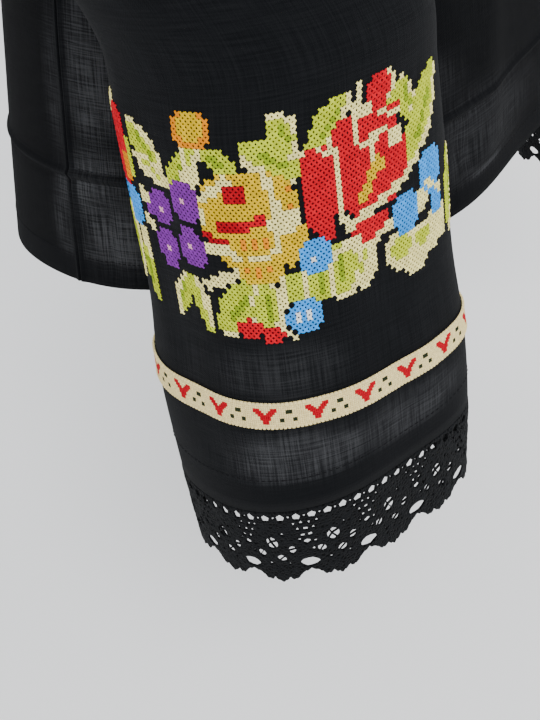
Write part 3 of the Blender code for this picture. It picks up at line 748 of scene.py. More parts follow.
def bodyGrid(front, columns, lowRows, armShares):
    rows = [bodyRing(front, 90.0 * columns, np.full(len(columns), z)) for z in lowRows]
    bottom = rows[-1]
    top = topEdge(front, columns)
    roundness = body["frontRound"] if front else body["backRound"]
    pull = (np.abs(columns)**body["pull"])[:, None]
    for shareUp in armShares:
        risen = (shareUp + np.sin(np.pi / 2 * shareUp)) / 2
        points = bottom + (top - bottom) * np.array([shareUp, shareUp**roundness, risen])
        angle = np.radians(270.0 + (180.0 if front else -180.0) * shareUp)
        right = sleeveForm(np.array([angle]), np.array([0.0]))[0]
        left = right * [-1, 1, 1]
        nearer = np.where((columns < 0)[:, None], right - points[0], left - points[-1])
        rows.append(points + pull * nearer)
    return np.array(rows)

def gridNormals(grid):
    normals = unitRows(np.cross(np.gradient(grid, axis=1), np.gradient(grid, axis=0)))
    outward = (grid - grid.mean(axis=(0, 1))) * [1, 1, 0]
    return normals if np.sign(np.sum(normals * outward, axis=-1)).mean() > 0 else -normals

# where painted light from behind shows through the body gauze as paler patches, front and back
bodyPaintedBacklight = dict(
    front=table(
        "at size amount",
        ((-60, -478), (72, 30), 0.5),
        ((-276, -476), (36, 38), 1.7),
        ((-280, -395), (32, 44), 1.3),
        ((120, -485), (85, 26), 0.55),
        ((-92, -436), (26, 22), 0.45),
        # a thin painted highlight along the top fold of the front hem
        ((-46, -505.5), (22, 2.0), 2.2),
        ((240, -430), (40, 60), 0.35),
    ),
    back=table(
        "at size amount",
        ((-297, -482), (14, 26), 1.2),
        ((-298, -405), (12, 40), 0.6),
        ((0, -488), (120, 24), 0.55),
        ((210, -400), (60, 60), 0.30),
    ),
)

def makeBodyPanel(name, front):
    hem = body["rings"][0]["z"]
    stepTop = hem + body["turnUp"]
    tuckRows = body["tuckAt"] + np.array(body["tuckRows"])
    underarm = body["rings"][-1]["z"]
    clear = body["rowClear"]
    plainRows = np.arange(stepTop + body["rowPitch"], underarm - 1.0, body["rowPitch"])
    plainRows = plainRows[(plainRows < tuckRows[0] - clear) | (plainRows > tuckRows[-1] + clear)]
    hemRows = [hem, *(hem + up for up in body["hemRows"]), stepTop - body["step"], stepTop]
    low = np.sort(np.concatenate([hemRows, [underarm], plainRows, tuckRows]))
    arm = np.arange(1, body["armRows"] + 1) / body["armRows"]
    fromSeam = np.array(body["seamColumns"]) / body["roundMm"]
    inner = np.linspace(-1.0, 1.0, body["columns"] + 1)[2:-2]
    columns = np.concatenate([fromSeam - 1, inner, (1 - fromSeam)[::-1]])
    grid = bodyGrid(front, columns, low, arm)
    normals = gridNormals(grid)
    flatX = np.broadcast_to(columns * body["roundMm"], grid.shape[:2])
    flatY = np.broadcast_to(np.concatenate([low, underarm - underarm * arm])[:, None], grid.shape[:2])
    seam = body["roundMm"] - np.abs(flatX)
    overTuck = flatY - body["tuckAt"]
    creases = body["frontCreases"] if front else body["backCreases"]
    calm = np.clip((1 - np.abs(columns)) / body["sideCalm"], 0, 1)[None, :]
    calm = calm * np.clip(-flatY / body["topCalm"], 0, 1)
    height = creaseHeight(creases, flatX, flatY) * calm
    seamCord = np.exp(-((seam - body["seamMiddle"]) / body["seamWide"])**2)
    height += body["seamRise"] * seamCord * np.clip(-flatY / body["seamCalm"], 0, 1)
    underTuck = np.exp(-((overTuck - body["underTuck"]) / body["underWide"])**2)
    height += body["tuckRise"] * np.exp(-(overTuck / body["tuckWide"])**2) - body["underDeep"] * underTuck
    height[:, [0, -1]] = 0.0
    height[-1] = 0.0
    grid = grid + normals * height[..., None]
    normals = gridNormals(grid)
    normals[:len(low), [0, -1], 1] = 0.0
    normals[-1, np.abs(columns) >= body["neckShare"] - 1e-9, 1] = 0.0
    normals = unitRows(normals)
    turnedUp = flatY <= stepTop + body["nearly"]
    shoulderSeam = (flatY > body["shoulderDark"]) & (np.abs(flatX) > body["neckShare"] * body["roundMm"])
    thickness = np.where(turnedUp, body["hemCloth"], body["cloth"])
    under = grid - normals * thickness[..., None]
    patches = bodyPaintedBacklight["front" if front else "back"]
    dark = turnedUp | (seam < body["seamDark"]) | (np.abs(overTuck) < body["tuckDark"]) | shoulderSeam
    marks = dict(paintedBacklight=patchAmount(patches, flatX, flatY), double=dark.astype(float))
    return addWall(name, grid, under, False, bodyGauzePaintedDarker, np.stack([flatX, flatY], axis=-1), marks)

frontPanel = makeBodyPanel("front_cloth", True)
backPanel = makeBodyPanel("back_cloth", False)
print("body made")

# Neck binding

binding = dict(steps=96, lap=1.2, proud=0.4, height=10.2, lean=0.55, cloth=1.6, profileSteps=12,
               endRound=0.6, faceRound=0.8)

def makeBinding():
    half = binding["steps"] // 2
    columns = np.linspace(-body["neckShare"], body["neckShare"], half + 1)
    loop = np.concatenate([topEdge(True, columns), topEdge(False, columns)[::-1][1:-1]])
    away = unitRows((loop - [0.0, body["neckY"], 0.0]) * [1, 1, 0])
    up = np.array([0.0, 0.0, 1.0])
    rise = unitRows(up - binding["lean"] * away)
    outward = unitRows(away + binding["lean"] * up)
    rows = []
    for turn in np.linspace(0, 2 * np.pi, binding["profileSteps"] + 1)[:-1]:
        high = np.sign(np.sin(turn)) * abs(np.sin(turn))**binding["endRound"]
        thick = np.sign(np.cos(turn)) * abs(np.cos(turn))**binding["faceRound"]
        high = binding["height"] / 2 * (1 + high)
        thick = binding["cloth"] / 2 * (1 - thick)
        rows.append(loop + rise * (high - binding["lap"]) - outward * (thick - binding["proud"]))
    grid = np.array(rows)
    count, steps = grid.shape[:2]
    faces = []
    for row in range(count):
        for step in range(steps):
            a, b = row * steps + step, row * steps + (step + 1) % steps
            c, d = ((row + 1) % count) * steps + (step + 1) % steps, ((row + 1) % count) * steps + step
            faces.append((a, b, c, d))
    return addMesh("neck_binding_cloth", grid.reshape(-1, 3), faces, bindingCloth)

def facesOut(piece):
    work = bmesh.new()
    work.from_mesh(piece.data)
    bmesh.ops.recalc_face_normals(work, faces=work.faces)
    work.to_mesh(piece.data)
    work.free()

bindingPiece = makeBinding()
facesOut(bindingPiece)
print("neck binding made")

# Tape: a thin strip, small woven blocks over it and beads along both edges

tape = dict(
    strip=0.45, lift=0.32, columns=408, rows=12, startShare=0.4375, block=(1.16, 1.22, 0.62), beads=212,
    bead=(1.7, 1.35, 0.95), sunk=0.1, shades=0.10, unevenness=0.06,
    colours=dict(cream=(0.88, 0.72, 0.34), red=(0.48, 0.0, 0.012), green=(0.018, 0.026, 0.010)),
    # one repeat, charted: r is red, g is dark green, a dot is cream
    figure=(
        "........................",
        "........................",
        "..rrr.....rrr...........",
        "..rrrr...rrrr....ggg....",
        "...rrrr.rrrr.....ggg....",
        "....rrrrrrr.............",
        ".....rrrrr..............",
        ".....rrrrr....gg....gg..",
        "......rrr.....gg....gg..",
        "......rrr...............",
        "........................",
        "........................",
    ),
)

def makeTape(name, left):
    share = np.arange(tape["columns"] // 3) * 3 / tape["columns"]
    across = np.linspace(-sleeve["tapeWidth"] / 2, sleeve["tapeWidth"] / 2, 4)
    shares, alongs = np.meshgrid(share, sleeve["tapeAlong"] + across)
    inner = sleeveSurface(shares, alongs, np.full(shares.shape, tape["lift"]))
    outer = sleeveSurface(shares, alongs, np.full(shares.shape, tape["lift"] + tape["strip"]))
    return addWall(name, mirrored(outer, left), mirrored(inner, left), True, creamTape)

def makeTapeWeave(name, left):
    columns, rows = np.meshgrid(np.arange(tape["columns"]), np.arange(tape["rows"]))
    repeat = len(tape["figure"][0])
    share = tape["startShare"] - (columns.ravel() + 0.5) / tape["columns"]
    along = sleeve["tapeAlong"] + ((rows.ravel() + 0.5) / tape["rows"] - 0.5) * sleeve["tapeWidth"]
    letters = dict(r="red", g="green")
    blocks = zip(columns.ravel(), rows.ravel())
    picked = [letters.get(tape["figure"][row][column % repeat], "cream") for column, row in blocks]
    edge = (np.arange(tape["beads"]) + 0.5) / tape["beads"]
    half = sleeve["tapeWidth"] / 2 - tape["sunk"]
    share = np.concatenate([share, edge, edge])
    edges = np.repeat([sleeve["tapeAlong"] - half, sleeve["tapeAlong"] + half], len(edge))
    along = np.concatenate([along, edges])
    picked += ["cream"] * (2 * len(edge))
    sizes = np.array([tape["block"]] * columns.size + [tape["bead"]] * (2 * len(edge)))
    lift = np.full(len(share), tape["lift"] + tape["strip"] - tape["sunk"])
    places, axes = sleevePlaces(share, along, lift, left)
    colours = threadShades([tape["colours"][one] for one in picked], tape["shades"], 5)
    return setCopies(name, smallBlock, places, axes, sizes, colours, tapeThread, tape["unevenness"], 3)

tapes = {side: makeTape("tape_" + side + "_cloth", side == "left") for side in ("right", "left")}
tapeWeaves = {side: makeTapeWeave("tape_" + side + "_weave", side == "left") for side in ("right", "left")}
print("tapes made")

# Lace

lace = dict(
    scallops=13, top=0.3, tip=50.0, valley=41.0, shift=-15.0, patternPitch=34.0, petals=4, petal=3.2,
    picots=11, picot=0.9, cloth=0.8, under=0.4, edgeSteps=44, joinShare=0.25, joinClear=0.4,
    uneven=0.12, lean=7.0, bar=0.17, crossing=(0.9, -0.7), spacing=1.7, rowShare=0.9, jitter=0.12,
    sideClear=0.9, topClear=1.4, endClear=0.8, edgeClear=0.7, holeClear=0.6, rimRise=0.30, rimWide=0.9,
    farFromRim=9.0, cutClear=0.2, grainRise=0.20, grainPace=(2.6, 2.9), tipFull=1.1, valleyLess=0.8,
)
# holes of one scallop, across from its tip and down from the cloth hem; the solids have the first nine too
laceHoles = table(
    "across down wide high sides turn parts",
    (-12.75, 4.4, 5.4, 5.2, 5, 90.0),
    (-4.25, 4.4, 5.4, 5.2, 5, 90.0),
    (4.25, 4.4, 5.4, 5.2, 5, 90.0),
    (12.75, 4.4, 5.4, 5.2, 5, 90.0),
    (2.6, 21.4, 7.6, 9.0, 12, 12.0, 4),
    (-1.6, 32.4, 6.4, 5.6, 8, 20.0, 2),
    (-8.2, 26.6, 5.2, 6.2, 8, -20.0, 2),
    (9.6, 28.6, 5.2, 5.8, 8, 25.0, 2),
    (17.0, 36.5, 10.8, 6.4, 12, 0.0),
    (-8.5, 4.0, 2.9, 3.0, 3, -90.0),
    (0.0, 4.0, 2.9, 3.0, 3, -90.0),
    (8.5, 4.0, 2.9, 3.0, 3, -90.0),
    (17.0, 4.0, 2.9, 3.0, 3, -90.0),
    (10.7, 8.8, 3.1, 3.0, 3, 90.0),
    (14.9, 8.8, 3.1, 3.2, 3, -90.0),
    (19.1, 8.8, 3.1, 3.2, 3, 90.0),
    (23.3, 8.8, 3.1, 3.0, 3, -90.0),
    (12.8, 13.0, 3.1, 3.0, 3, 90.0),
    (17.0, 13.0, 3.2, 3.2, 4, 0.0),
    (21.2, 13.0, 3.1, 3.0, 3, 90.0),
    (15.0, 17.2, 2.9, 3.0, 4, 10.0),
    (19.0, 17.2, 2.9, 3.0, 4, -10.0),
    (17.0, 21.8, 4.2, 3.6, 6, 0.0),
    (-3.6, 15.4, 2.0, 2.0, 5, 0.0),
    (-13.0, 20.0, 2.2, 2.0, 5, 0.0),
    (12.6, 22.4, 2.2, 2.2, 5, 0.0),
    (-5.6, 36.4, 1.9, 1.8, 5, 0.0),
    (5.2, 36.0, 2.2, 2.0, 5, 0.0),
    (14.0, 27.6, 2.0, 2.4, 5, 0.0),
)
# raised places of one scallop: the solid flower at its tip and the bars between the holes
laceRelief = table(
    "across down round rise",
    (0.0, 42.4, 2.2, 0.55),
    (-4.6, 42.0, 2.0, 0.45),
    (4.6, 42.0, 2.0, 0.45),
    (-2.6, 46.6, 1.8, 0.40),
    (2.8, 46.4, 1.8, 0.40),
    (-8.2, 18.8, 2.6, 0.35),
    (8.0, 17.4, 2.6, 0.30),
    (0.0, 10.4, 2.8, 0.30),
)

# from -0.5 to 0.5 across one scallop, 0 at its tip
def scallopShare(across, pitch):
    return across / pitch - np.floor(across / pitch) - 0.5

def laceEdge(across, pitch):
    across = scallopShare(across, pitch) * pitch
    share = abs(across) / (pitch / 2)
    fall = lace["tip"] - (lace["tip"] - lace["valley"]) * share**2
    petal = lace["petal"] * (abs(np.cos(np.pi * lace["petals"] * across / pitch)) - 1)
    picot = lace["picot"] * (abs(np.cos(np.pi * lace["picots"] * across / pitch)) - 1)
    return fall + (petal + picot) * (lace["tipFull"] - lace["valleyLess"] * share)

def insideOutline(points, outline):
    x, y = points[:, 0], points[:, 1]
    within = np.zeros(len(points), bool)
    ring = np.asarray(outline, float)
    for (ax, ay), (bx, by) in zip(ring, np.roll(ring, -1, axis=0)):
        if ay == by:
            continue
        crosses = (ay > y) != (by > y)
        within ^= crosses & (x < (bx - ax) * (y - ay) / (by - ay) + ax)
    return within

# a big hole is crossed by threads, which leave it in a few parts
def splitHole(outline, middle, parts):
    if parts == 1:
        return [outline]
    span = len(outline) // parts
    ring = np.concatenate([outline, outline[:1]])
    sectors = [ring[k * span:(k + 1) * span + 1] for k in range(parts)]
    if parts > 2:
        sectors = [np.concatenate([sector, [middle + lace["crossing"]]]) for sector in sectors]
    return [sector + (sector.mean(axis=0) - sector) * lace["bar"] for sector in sectors]

# the strip laid flat: across runs round the cuff, down from the cloth hem
def laceOutlines(whole):
    pitch = whole / lace["scallops"]
    steps = lace["scallops"] * lace["edgeSteps"]
    cut = pitch * lace["joinShare"]
    acrossSteps = cut + whole * np.arange(steps + 1) / steps
    bottom = [(a, laceEdge(a, pitch)) for a in acrossSteps]
    top = [(a, lace["top"]) for a in acrossSteps]
    holes = []
    rng = np.random.default_rng(4)
    for scallop in range(-1, lace["scallops"] + 2):
        for hole in laceHoles:
            turns = 2 * np.pi * (np.arange(hole["sides"]) + 0.5) / hole["sides"]
            reach = 1 + rng.uniform(-lace["uneven"], lace["uneven"] / 2, hole["sides"])
            x = hole["wide"] / 2 * np.cos(turns) * reach
            y = hole["high"] / 2 * np.sin(turns) * reach
            tip = np.radians(hole["turn"] + rng.uniform(-lace["lean"], lace["lean"]))
            across = (scallop + 0.5) * pitch + hole["across"] * pitch / lace["patternPitch"]
            middle = np.array([across, hole["down"]])
            turned = [x * np.cos(tip) - y * np.sin(tip), x * np.sin(tip) + y * np.cos(tip)]
            outline = middle + np.stack(turned, axis=-1)
            left, right = outline[:, 0].min(), outline[:, 0].max()
            if left < cut + lace["joinClear"] or right > cut + whole - lace["joinClear"]:
                continue
            holes += splitHole(outline, middle, hole.get("parts", 1))
    return pitch, np.array(top + bottom[::-1]), holes

def insideHole(points, hole, clear, grow=0.0):
    middle = hole.mean(axis=0)
    reach = np.linalg.norm(hole - middle, axis=1)
    outline = middle + (hole - middle) * (1 + grow / reach.mean()) if grow else hole
    near = np.linalg.norm(points - middle, axis=1) < reach.max() + clear
    inside = np.zeros(len(points), bool)
    inside[near] = insideOutline(points[near], outline)
    return inside

# loose points between the outlines, in rows that are half a step apart
def laceSpread(border, holes, pitch):
    rng = np.random.default_rng(7)
    first, last = border[:, 0].min(), border[:, 0].max()
    xs = np.arange(first + lace["sideClear"], last - lace["sideClear"], lace["spacing"])
    ys = np.arange(lace["topClear"], lace["tip"] - lace["endClear"], lace["spacing"] * lace["rowShare"])
    spread = np.stack(np.meshgrid(xs, ys), axis=-1)
    spread[1::2, :, 0] += lace["spacing"] / 2
    spread = spread.reshape(-1, 2)
    spread += rng.uniform(-lace["jitter"], lace["jitter"], spread.shape)
    fall = np.array([laceEdge(a, pitch) for a in spread[:, 0]])
    spread = spread[(spread[:, 1] < fall - lace["edgeClear"]) & (spread[:, 0] < last - lace["endClear"])]
    for hole in holes:
        spread = spread[~insideHole(spread, hole, lace["holeClear"], lace["holeClear"])]
    return spread

def laceTriangles(border, holes, spread):
    points, edges = [], []
    for outline in [border] + holes:
        base = len(points)
        points += [Vector((float(a), float(d))) for a, d in outline]
        edges += [(base + i, base + (i + 1) % len(outline)) for i in range(len(outline))]
    points += [Vector((float(a), float(d))) for a, d in spread]
    flat, _, triangles, _, _, _ = delaunay_2d_cdt(points, edges, [], 1, 1e-5)
    flat = np.array([tuple(p) for p in flat])
    triangles = np.array([tuple(t) for t in triangles])
    middles = flat[triangles].mean(axis=1)
    keep = insideOutline(middles, border)
    for hole in holes:
        keep &= ~insideHole(middles, hole, lace["cutClear"])
    return flat, triangles[keep]

# how far the thread stands up: rims round the holes, a fine grain and the raised places of each scallop
def laceHeight(flat, holes, pitch):
    fromRim = np.full(len(flat), lace["farFromRim"])
    for hole in holes:
        middle = hole.mean(axis=0)
        radius = np.linalg.norm(hole - middle, axis=1).mean()
        fromRim = np.minimum(fromRim, np.abs(np.linalg.norm(flat - middle, axis=1) - radius))
    grain = np.sin(flat[:, 0] * lace["grainPace"][0]) * np.sin(flat[:, 1] * lace["grainPace"][1])
    height = lace["rimRise"] * np.exp(-(fromRim / lace["rimWide"])**2) + lace["grainRise"] * grain
    across = scallopShare(flat[:, 0], pitch) * lace["patternPitch"]
    for bump in laceRelief:
        away = np.hypot(across - bump["across"], flat[:, 1] - bump["down"]) / bump["round"]
        height += bump["rise"] * np.exp(-away**2)
    return height

def makeLace(name, left):
    angles, lengths = roundLengths(sleeve["hemAlong"])
    whole = lengths[-1]
    pitch, border, holes = laceOutlines(whole)
    flat, triangles = laceTriangles(border, holes, laceSpread(border, holes, pitch))
    # the strip is wrapped round the cuff, and its two straight ends meet
    hemShare = (flat[:, 0] + lace["shift"]) / whole
    angle = np.interp((hemShare % 1.0) * whole, lengths, angles)
    share = np.interp(angle, roundAngles, roundShares)
    along = sleeve["hemAlong"] + flat[:, 1]
    here, normal = formAndNormal(share, along)
    here = here + normal * sleeveFold(share, np.minimum(along, sleeve["hemAlong"]))[:, None]
    height = laceHeight(flat, holes, pitch)
    outer = here + normal * height[:, None]
    inner = here - normal * (lace["cloth"] + lace["under"] * height)[:, None]
    count = len(flat)
    outerFaces = [tuple(int(k) for k in triangle) for triangle in triangles]
    innerFaces = [(count + c, count + b, count + a) for a, b, c in outerFaces]
    sides = dict.fromkeys(side for a, b, c in outerFaces for side in ((a, b), (b, c), (c, a)))
    rims = [(two, one, count + one, count + two) for one, two in sides if (two, one) not in sides]
    points = mirrored(np.concatenate([outer, inner]), left)
    piece = addMesh(name, points, outerFaces + innerFaces + rims, laceCotton)
    layer = piece.data.attributes.new("cloth", "FLOAT2", "POINT")
    layer.data.foreach_set("vector", (np.concatenate([flat, flat]) * mm).astype(np.float32).ravel())
    return piece

# reach is in metres
def joinEnds(piece, reach=0.00002):
    work = bmesh.new()
    work.from_mesh(piece.data)
    bmesh.ops.remove_doubles(work, verts=work.verts, dist=reach)
    seen = {}
    for face in list(work.faces):
        key = tuple(sorted(v.index for v in face.verts))
        seen.setdefault(key, []).append(face)
    doubled = [face for faces in seen.values() if len(faces) > 1 for face in faces]
    bmesh.ops.delete(work, geom=doubled, context="FACES_ONLY")
    bmesh.ops.recalc_face_normals(work, faces=work.faces)
    work.to_mesh(piece.data)
    work.free()

laces = {}
for side in ("right", "left"):
    laces[side] = makeLace("lace_" + side + "_edging", side == "left")
    joinEnds(laces[side])
print("laces made")

# Cross-stitch: two bouquets round each sleeve, designed on a stitch grid from plain flower and leaf shapes

threadColours = dict(
    red=(0.56, 0.0, 0.012), darkRed=(0.38, 0.0, 0.008), yellow=(0.66, 0.43, 0.0), gold=(0.74, 0.24, 0.0),
    cream=(0.90, 0.80, 0.31), lime=(0.50, 0.58, 0.02), leaf=(0.24, 0.34, 0.008), purple=(0.19, 0.026, 0.30),
    pink=(0.74, 0.36, 0.52), blue=(0.035, 0.31, 0.82), white=(0.80, 0.82, 0.80),
)

# the shapes that a bouquet is drawn from, in stitches round and down from its upper corner
def leaf(foot, tip, fat, rims="right", inside="lime", rim="cream"):
    return dict(kind="leaf", foot=foot, tip=tip, fat=fat, rims=rims, inside=inside, rim=rim)

def bar(foot, tip, half, colour="cream"):
    return dict(kind="bar", foot=foot, tip=tip, half=half, colour=colour)

def oval(at, size, colour="cream", every=1):
    return dict(kind="oval", at=at, size=size, colour=colour, every=every)

def violet(at, size):
    return dict(kind="violet", at=at, size=size)

def forgetMeNot(at, size, spots):
    return dict(kind="forgetMeNot", at=at, size=size, spots=spots)

bouquet = dict(
    wide=74, high=40, stitchesRound=160, startShare=0.4375, topAlong=212.0, rowPitch=2.78, lift=0.05,
    innerShare=0.46, unevenness=0.05, shades=0.14, leafRound=0.7, leafRim=1.1, ovalRound=2.4,
    violetRound=3, forgetRound=2.6, spotOut=1.1,
    # later ones lie on top; every leaves the stitches between out
    shapes=[
        leaf((7.5, 12.6), (0.6, 2.6), 2.8),
        leaf((8.6, 13.4), (1.0, 9.0), 1.9, "both", inside="cream"),
        leaf((9.0, 13.0), (14.0, 6.6), 2.3),
        leaf((16.4, 5.4), (22.6, 9.4), 1.9, "none"),
        bar((15.0, 5.0), (13.2, 12.0), 1.7),
        bar((15.0, 5.0), (13.4, 8.6), 0.6, "lime"),
        oval((15.2, 2.5), (3.5, 3.1), "gold"),
        oval((15.0, 2.1), (2.7, 2.5), "yellow"),
        leaf((33.4, 11.4), (23.2, 4.8), 3.2, "left"),
        leaf((33.0, 7.2), (29.0, 0.8), 2.9),
        leaf((35.0, 9.0), (43.0, 0.4), 2.8),
        bar((32.0, 8.2), (36.6, 8.8), 0.6),
        bar((44.4, 4.8), (45.0, 0.4), 0.7),
        leaf((56.0, 9.2), (53.6, 2.0), 2.2),
        leaf((54.8, 17.0), (63.4, 2.6), 3.4),
        leaf((67.0, 34.0), (68.6, 19.0), 2.3),
        leaf((9.0, 28.2), (4.8, 37.0), 2.0),
        leaf((10.4, 28.2), (12.8, 38.6), 1.9, inside="cream", rim="lime"),
        bar((13.6, 29.4), (20.2, 26.6), 1.0),
        leaf((24.4, 28.0), (15.4, 38.0), 3.9, "left"),
        leaf((25.4, 27.6), (25.0, 38.0), 2.7, "left"),
        oval((29.8, 30.0), (2.1, 2.7), "lime"),
        oval((34.6, 30.2), (2.2, 3.6), "lime"),
        leaf((37.0, 33.6), (43.6, 31.0), 2.2, "both"),
        oval((43.4, 29.8), (3.4, 4.3)),
        oval((39.2, 28.8), (2.9, 4.3), "lime"),
        bar((43.6, 27.6), (43.4, 30.6), 0.5, "lime"),
        bar((22.6, 28.4), (22.4, 32.4), 0.5),
        bar((27.6, 27.8), (27.6, 33.4), 0.5),
        bar((32.2, 28.0), (32.4, 32.6), 0.5),
        bar((36.8, 26.8), (37.0, 33.0), 0.5),
        bar((39.2, 26.6), (39.4, 31.2), 0.4, "leaf"),
        bar((34.6, 28.4), (34.6, 32.0), 0.4, "leaf"),
        oval((52.6, 30.8), (4.0, 3.4)),
        oval((58.0, 31.8), (4.4, 3.2)),
        oval((62.0, 30.4), (3.0, 3.4)),
        oval((55.4, 34.0), (2.8, 2.8)),
        oval((52.0, 30.4), (2.2, 2.0), "lime"),
        oval((57.6, 30.6), (2.2, 1.6), "lime"),
        violet((11.3, 15.0), (3.2, 3.5)),
        violet((4.8, 17.6), (3.0, 3.3)),
        violet((11.2, 23.4), (3.1, 3.5)),
        violet((4.9, 24.8), (2.7, 3.3)),
        bar((0.6, 15.4), (1.8, 17.0), 0.8),
        bar((1.0, 20.4), (2.2, 21.4), 0.8),
        oval((23.6, 17.4), (9.1, 8.4), "yellow"),
        oval((24.4, 24.4), (4.4, 4.4), "yellow"),
        oval((30.0, 22.0), (3.6, 4.0), "yellow"),
        bar((15.2, 14.2), (20.4, 10.4), 0.9),
        bar((15.4, 15.6), (15.2, 18.2), 0.5),
        bar((26.8, 9.0), (28.8, 16.6), 0.8),
        oval((29.6, 18.4), (3.2, 1.9)),
        bar((28.4, 19.4), (27.6, 23.0), 0.7),
        oval((17.0, 22.6), (2.8, 1.3)),
        bar((20.0, 23.6), (21.2, 24.4), 0.6),
        oval((24.4, 24.0), (2.2, 1.0)),
        oval((21.6, 13.2), (2.0, 1.8), "darkRed"),
        bar((18.4, 18.4), (22.6, 18.8), 1.0, "darkRed"),
        bar((22.6, 18.6), (26.4, 17.2), 0.8, "red"),
        bar((15.2, 20.4), (19.2, 21.0), 0.6, "darkRed"),
        oval((23.8, 21.4), (4.0, 0.7), "gold", every=2),
        oval((24.2, 26.4), (2.8, 0.7), "gold", every=2),
        oval((31.0, 13.8), (1.0, 3.0), "gold", every=3),
        oval((36.4, 14.4), (3.3, 7.3), "red"),
        bar((36.4, 17.0), (37.4, 23.0), 1.3, "red"),
        oval((47.2, 14.8), (7.3, 7.2), "red"),
        oval((42.0, 7.4), (2.6, 3.0), "red"),
        oval((48.6, 6.6), (4.6, 2.4), "red"),
        bar((39.6, 9.2), (40.4, 21.0), 0.6),
        bar((36.8, 8.2), (39.8, 9.4), 0.6),
        bar((44.6, 3.6), (44.0, 9.4), 0.6),
        bar((44.6, 10.2), (50.4, 8.8), 0.7),
        bar((47.0, 11.0), (47.2, 12.6), 0.5),
        oval((52.0, 11.0), (1.9, 1.6)),
        bar((50.6, 6.8), (53.4, 7.4), 0.6),
        bar((44.2, 19.2), (48.0, 13.4), 1.0, "yellow"),
        oval((48.0, 14.2), (2.0, 1.2), "yellow"),
        bar((40.6, 22.8), (51.6, 19.6), 0.8),
        bar((50.6, 20.4), (56.6, 16.8), 0.7),
        oval((45.8, 23.8), (4.0, 1.5), "red"),
        oval((45.0, 25.2), (1.6, 1.2), "red"),
        bar((36.6, 26.4), (42.8, 25.2), 0.9),
        bar((47.0, 26.4), (51.0, 24.8), 0.9),
        oval((49.4, 2.8), (2.9, 3.4)),
        oval((49.0, 2.0), (2.1, 3.6), "red"),
        bar((44.6, 4.4), (46.8, 4.6), 0.7),
        bar((51.4, 4.8), (54.6, 2.6), 0.8, "lime"),
        forgetMeNot((34.2, 25.6), (3.1, 3.0), 1),
        forgetMeNot((31.2, 35.6), (3.3, 3.0), 4),
        forgetMeNot((53.6, 24.8), (2.9, 3.6), 0),
        forgetMeNot((60.4, 20.4), (3.3, 3.9), 0),
        bar((61.6, 22.6), (61.8, 27.6), 1.3, "blue"),
        oval((57.8, 24.4), (1.3, 1.9)),
        bar((58.6, 21.6), (63.4, 24.8), 0.6),
        oval((21.0, 36.6), (2.1, 1.7), "red"),
        oval((25.2, 38.0), (1.9, 1.5), "red"),
        bar((26.8, 36.6), (28.8, 38.8), 0.6),
    ],
    # the bouquet on the inner side ends in a bud of its own
    innerShapes=[
        leaf((67.2, 5.0), (69.4, 0.0), 1.5, "none", inside="cream"),
        oval((70.0, 8.4), (3.0, 7.2), "red"),
        bar((68.8, 4.6), (70.2, 9.4), 0.5, "darkRed"),
        oval((71.6, 11.8), (1.5, 2.6), "gold"),
        bar((72.8, 6.8), (73.0, 13.0), 0.6, "lime"),
        oval((71.2, 19.2), (2.1, 3.8), "blue"),
        bar((72.2, 23.4), (72.6, 29.4), 0.9),
        leaf((71.4, 26.0), (72.8, 36.4), 1.4, "none", rim="lime"),
    ],
)

def bouquetChart(shapes):
    columns, rows = np.meshgrid(np.arange(float(bouquet["wide"])), np.arange(float(bouquet["high"])))
    names = list(threadColours)
    chart = np.full(columns.shape, -1)
    for shape in shapes:
        if shape["kind"] in ("leaf", "bar"):
            (x0, y0), (x1, y1) = shape["foot"], shape["tip"]
            length = np.hypot(x1 - x0, y1 - y0)
            share = ((columns - x0) * (x1 - x0) + (rows - y0) * (y1 - y0)) / length**2
            side = ((columns - x0) * (y1 - y0) - (rows - y0) * (x1 - x0)) / length
        if shape["kind"] == "bar":
            within = (share > -0.5 / length) & (share < 1 + 0.5 / length)
            chart[within & (abs(side) <= shape["half"])] = names.index(shape["colour"])
        elif shape["kind"] == "leaf":
            reach = shape["fat"] * np.sin(np.pi * np.clip(share * 0.94 + 0.03, 0, 1))**bouquet["leafRound"]
            inside = (share >= 0) & (share <= 1) & (abs(side) <= reach)
            chart[inside] = names.index(shape["inside"])
            vein = inside & (abs(side + 0.3) < 0.5) & (share > 0.25) & (share < 0.75)
            chart[vein] = names.index("leaf" if shape["inside"] == "lime" else "lime")
            rim = reach - bouquet["leafRim"]
            rims = dict(right=side < -rim, left=side > rim, both=abs(side) > rim)
            if shape["rims"] in rims:
                chart[inside & rims[shape["rims"]]] = names.index(shape["rim"])
        else:
            x, y = shape["at"]
            u, v = abs(columns - x) / shape["size"][0], abs(rows - y) / shape["size"][1]
            if shape["kind"] == "oval":
                power = bouquet["ovalRound"]
                patch = (u**power + v**power <= 1) & ((columns + 2 * rows) % shape["every"] == 0)
                chart[patch] = names.index(shape["colour"])
            elif shape["kind"] == "violet":
                power = bouquet["violetRound"]
                chart[(u**power + v**power <= 1) & (np.minimum(u, v) < 0.6)] = names.index("purple")
                chart[(abs(columns - x) <= 0.5) & (abs(rows - y) <= 0.5)] = names.index("pink")
            else:
                power = bouquet["forgetRound"]
                chart[(u**power + v**power <= 1) & (np.minimum(u, v) < 0.62)] = names.index("blue")
                for spot in range(shape["spots"]):
                    turn = np.pi * (0.25 + spot / 2)
                    out = bouquet["spotOut"] if shape["spots"] > 1 else 0
                    dx, dy = out * np.cos(turn), out * np.sin(turn)
                    chart[(abs(columns - x - dx) <= 0.5) & (abs(rows - y - dy) <= 0.5)] = names.index("white")
    return chart

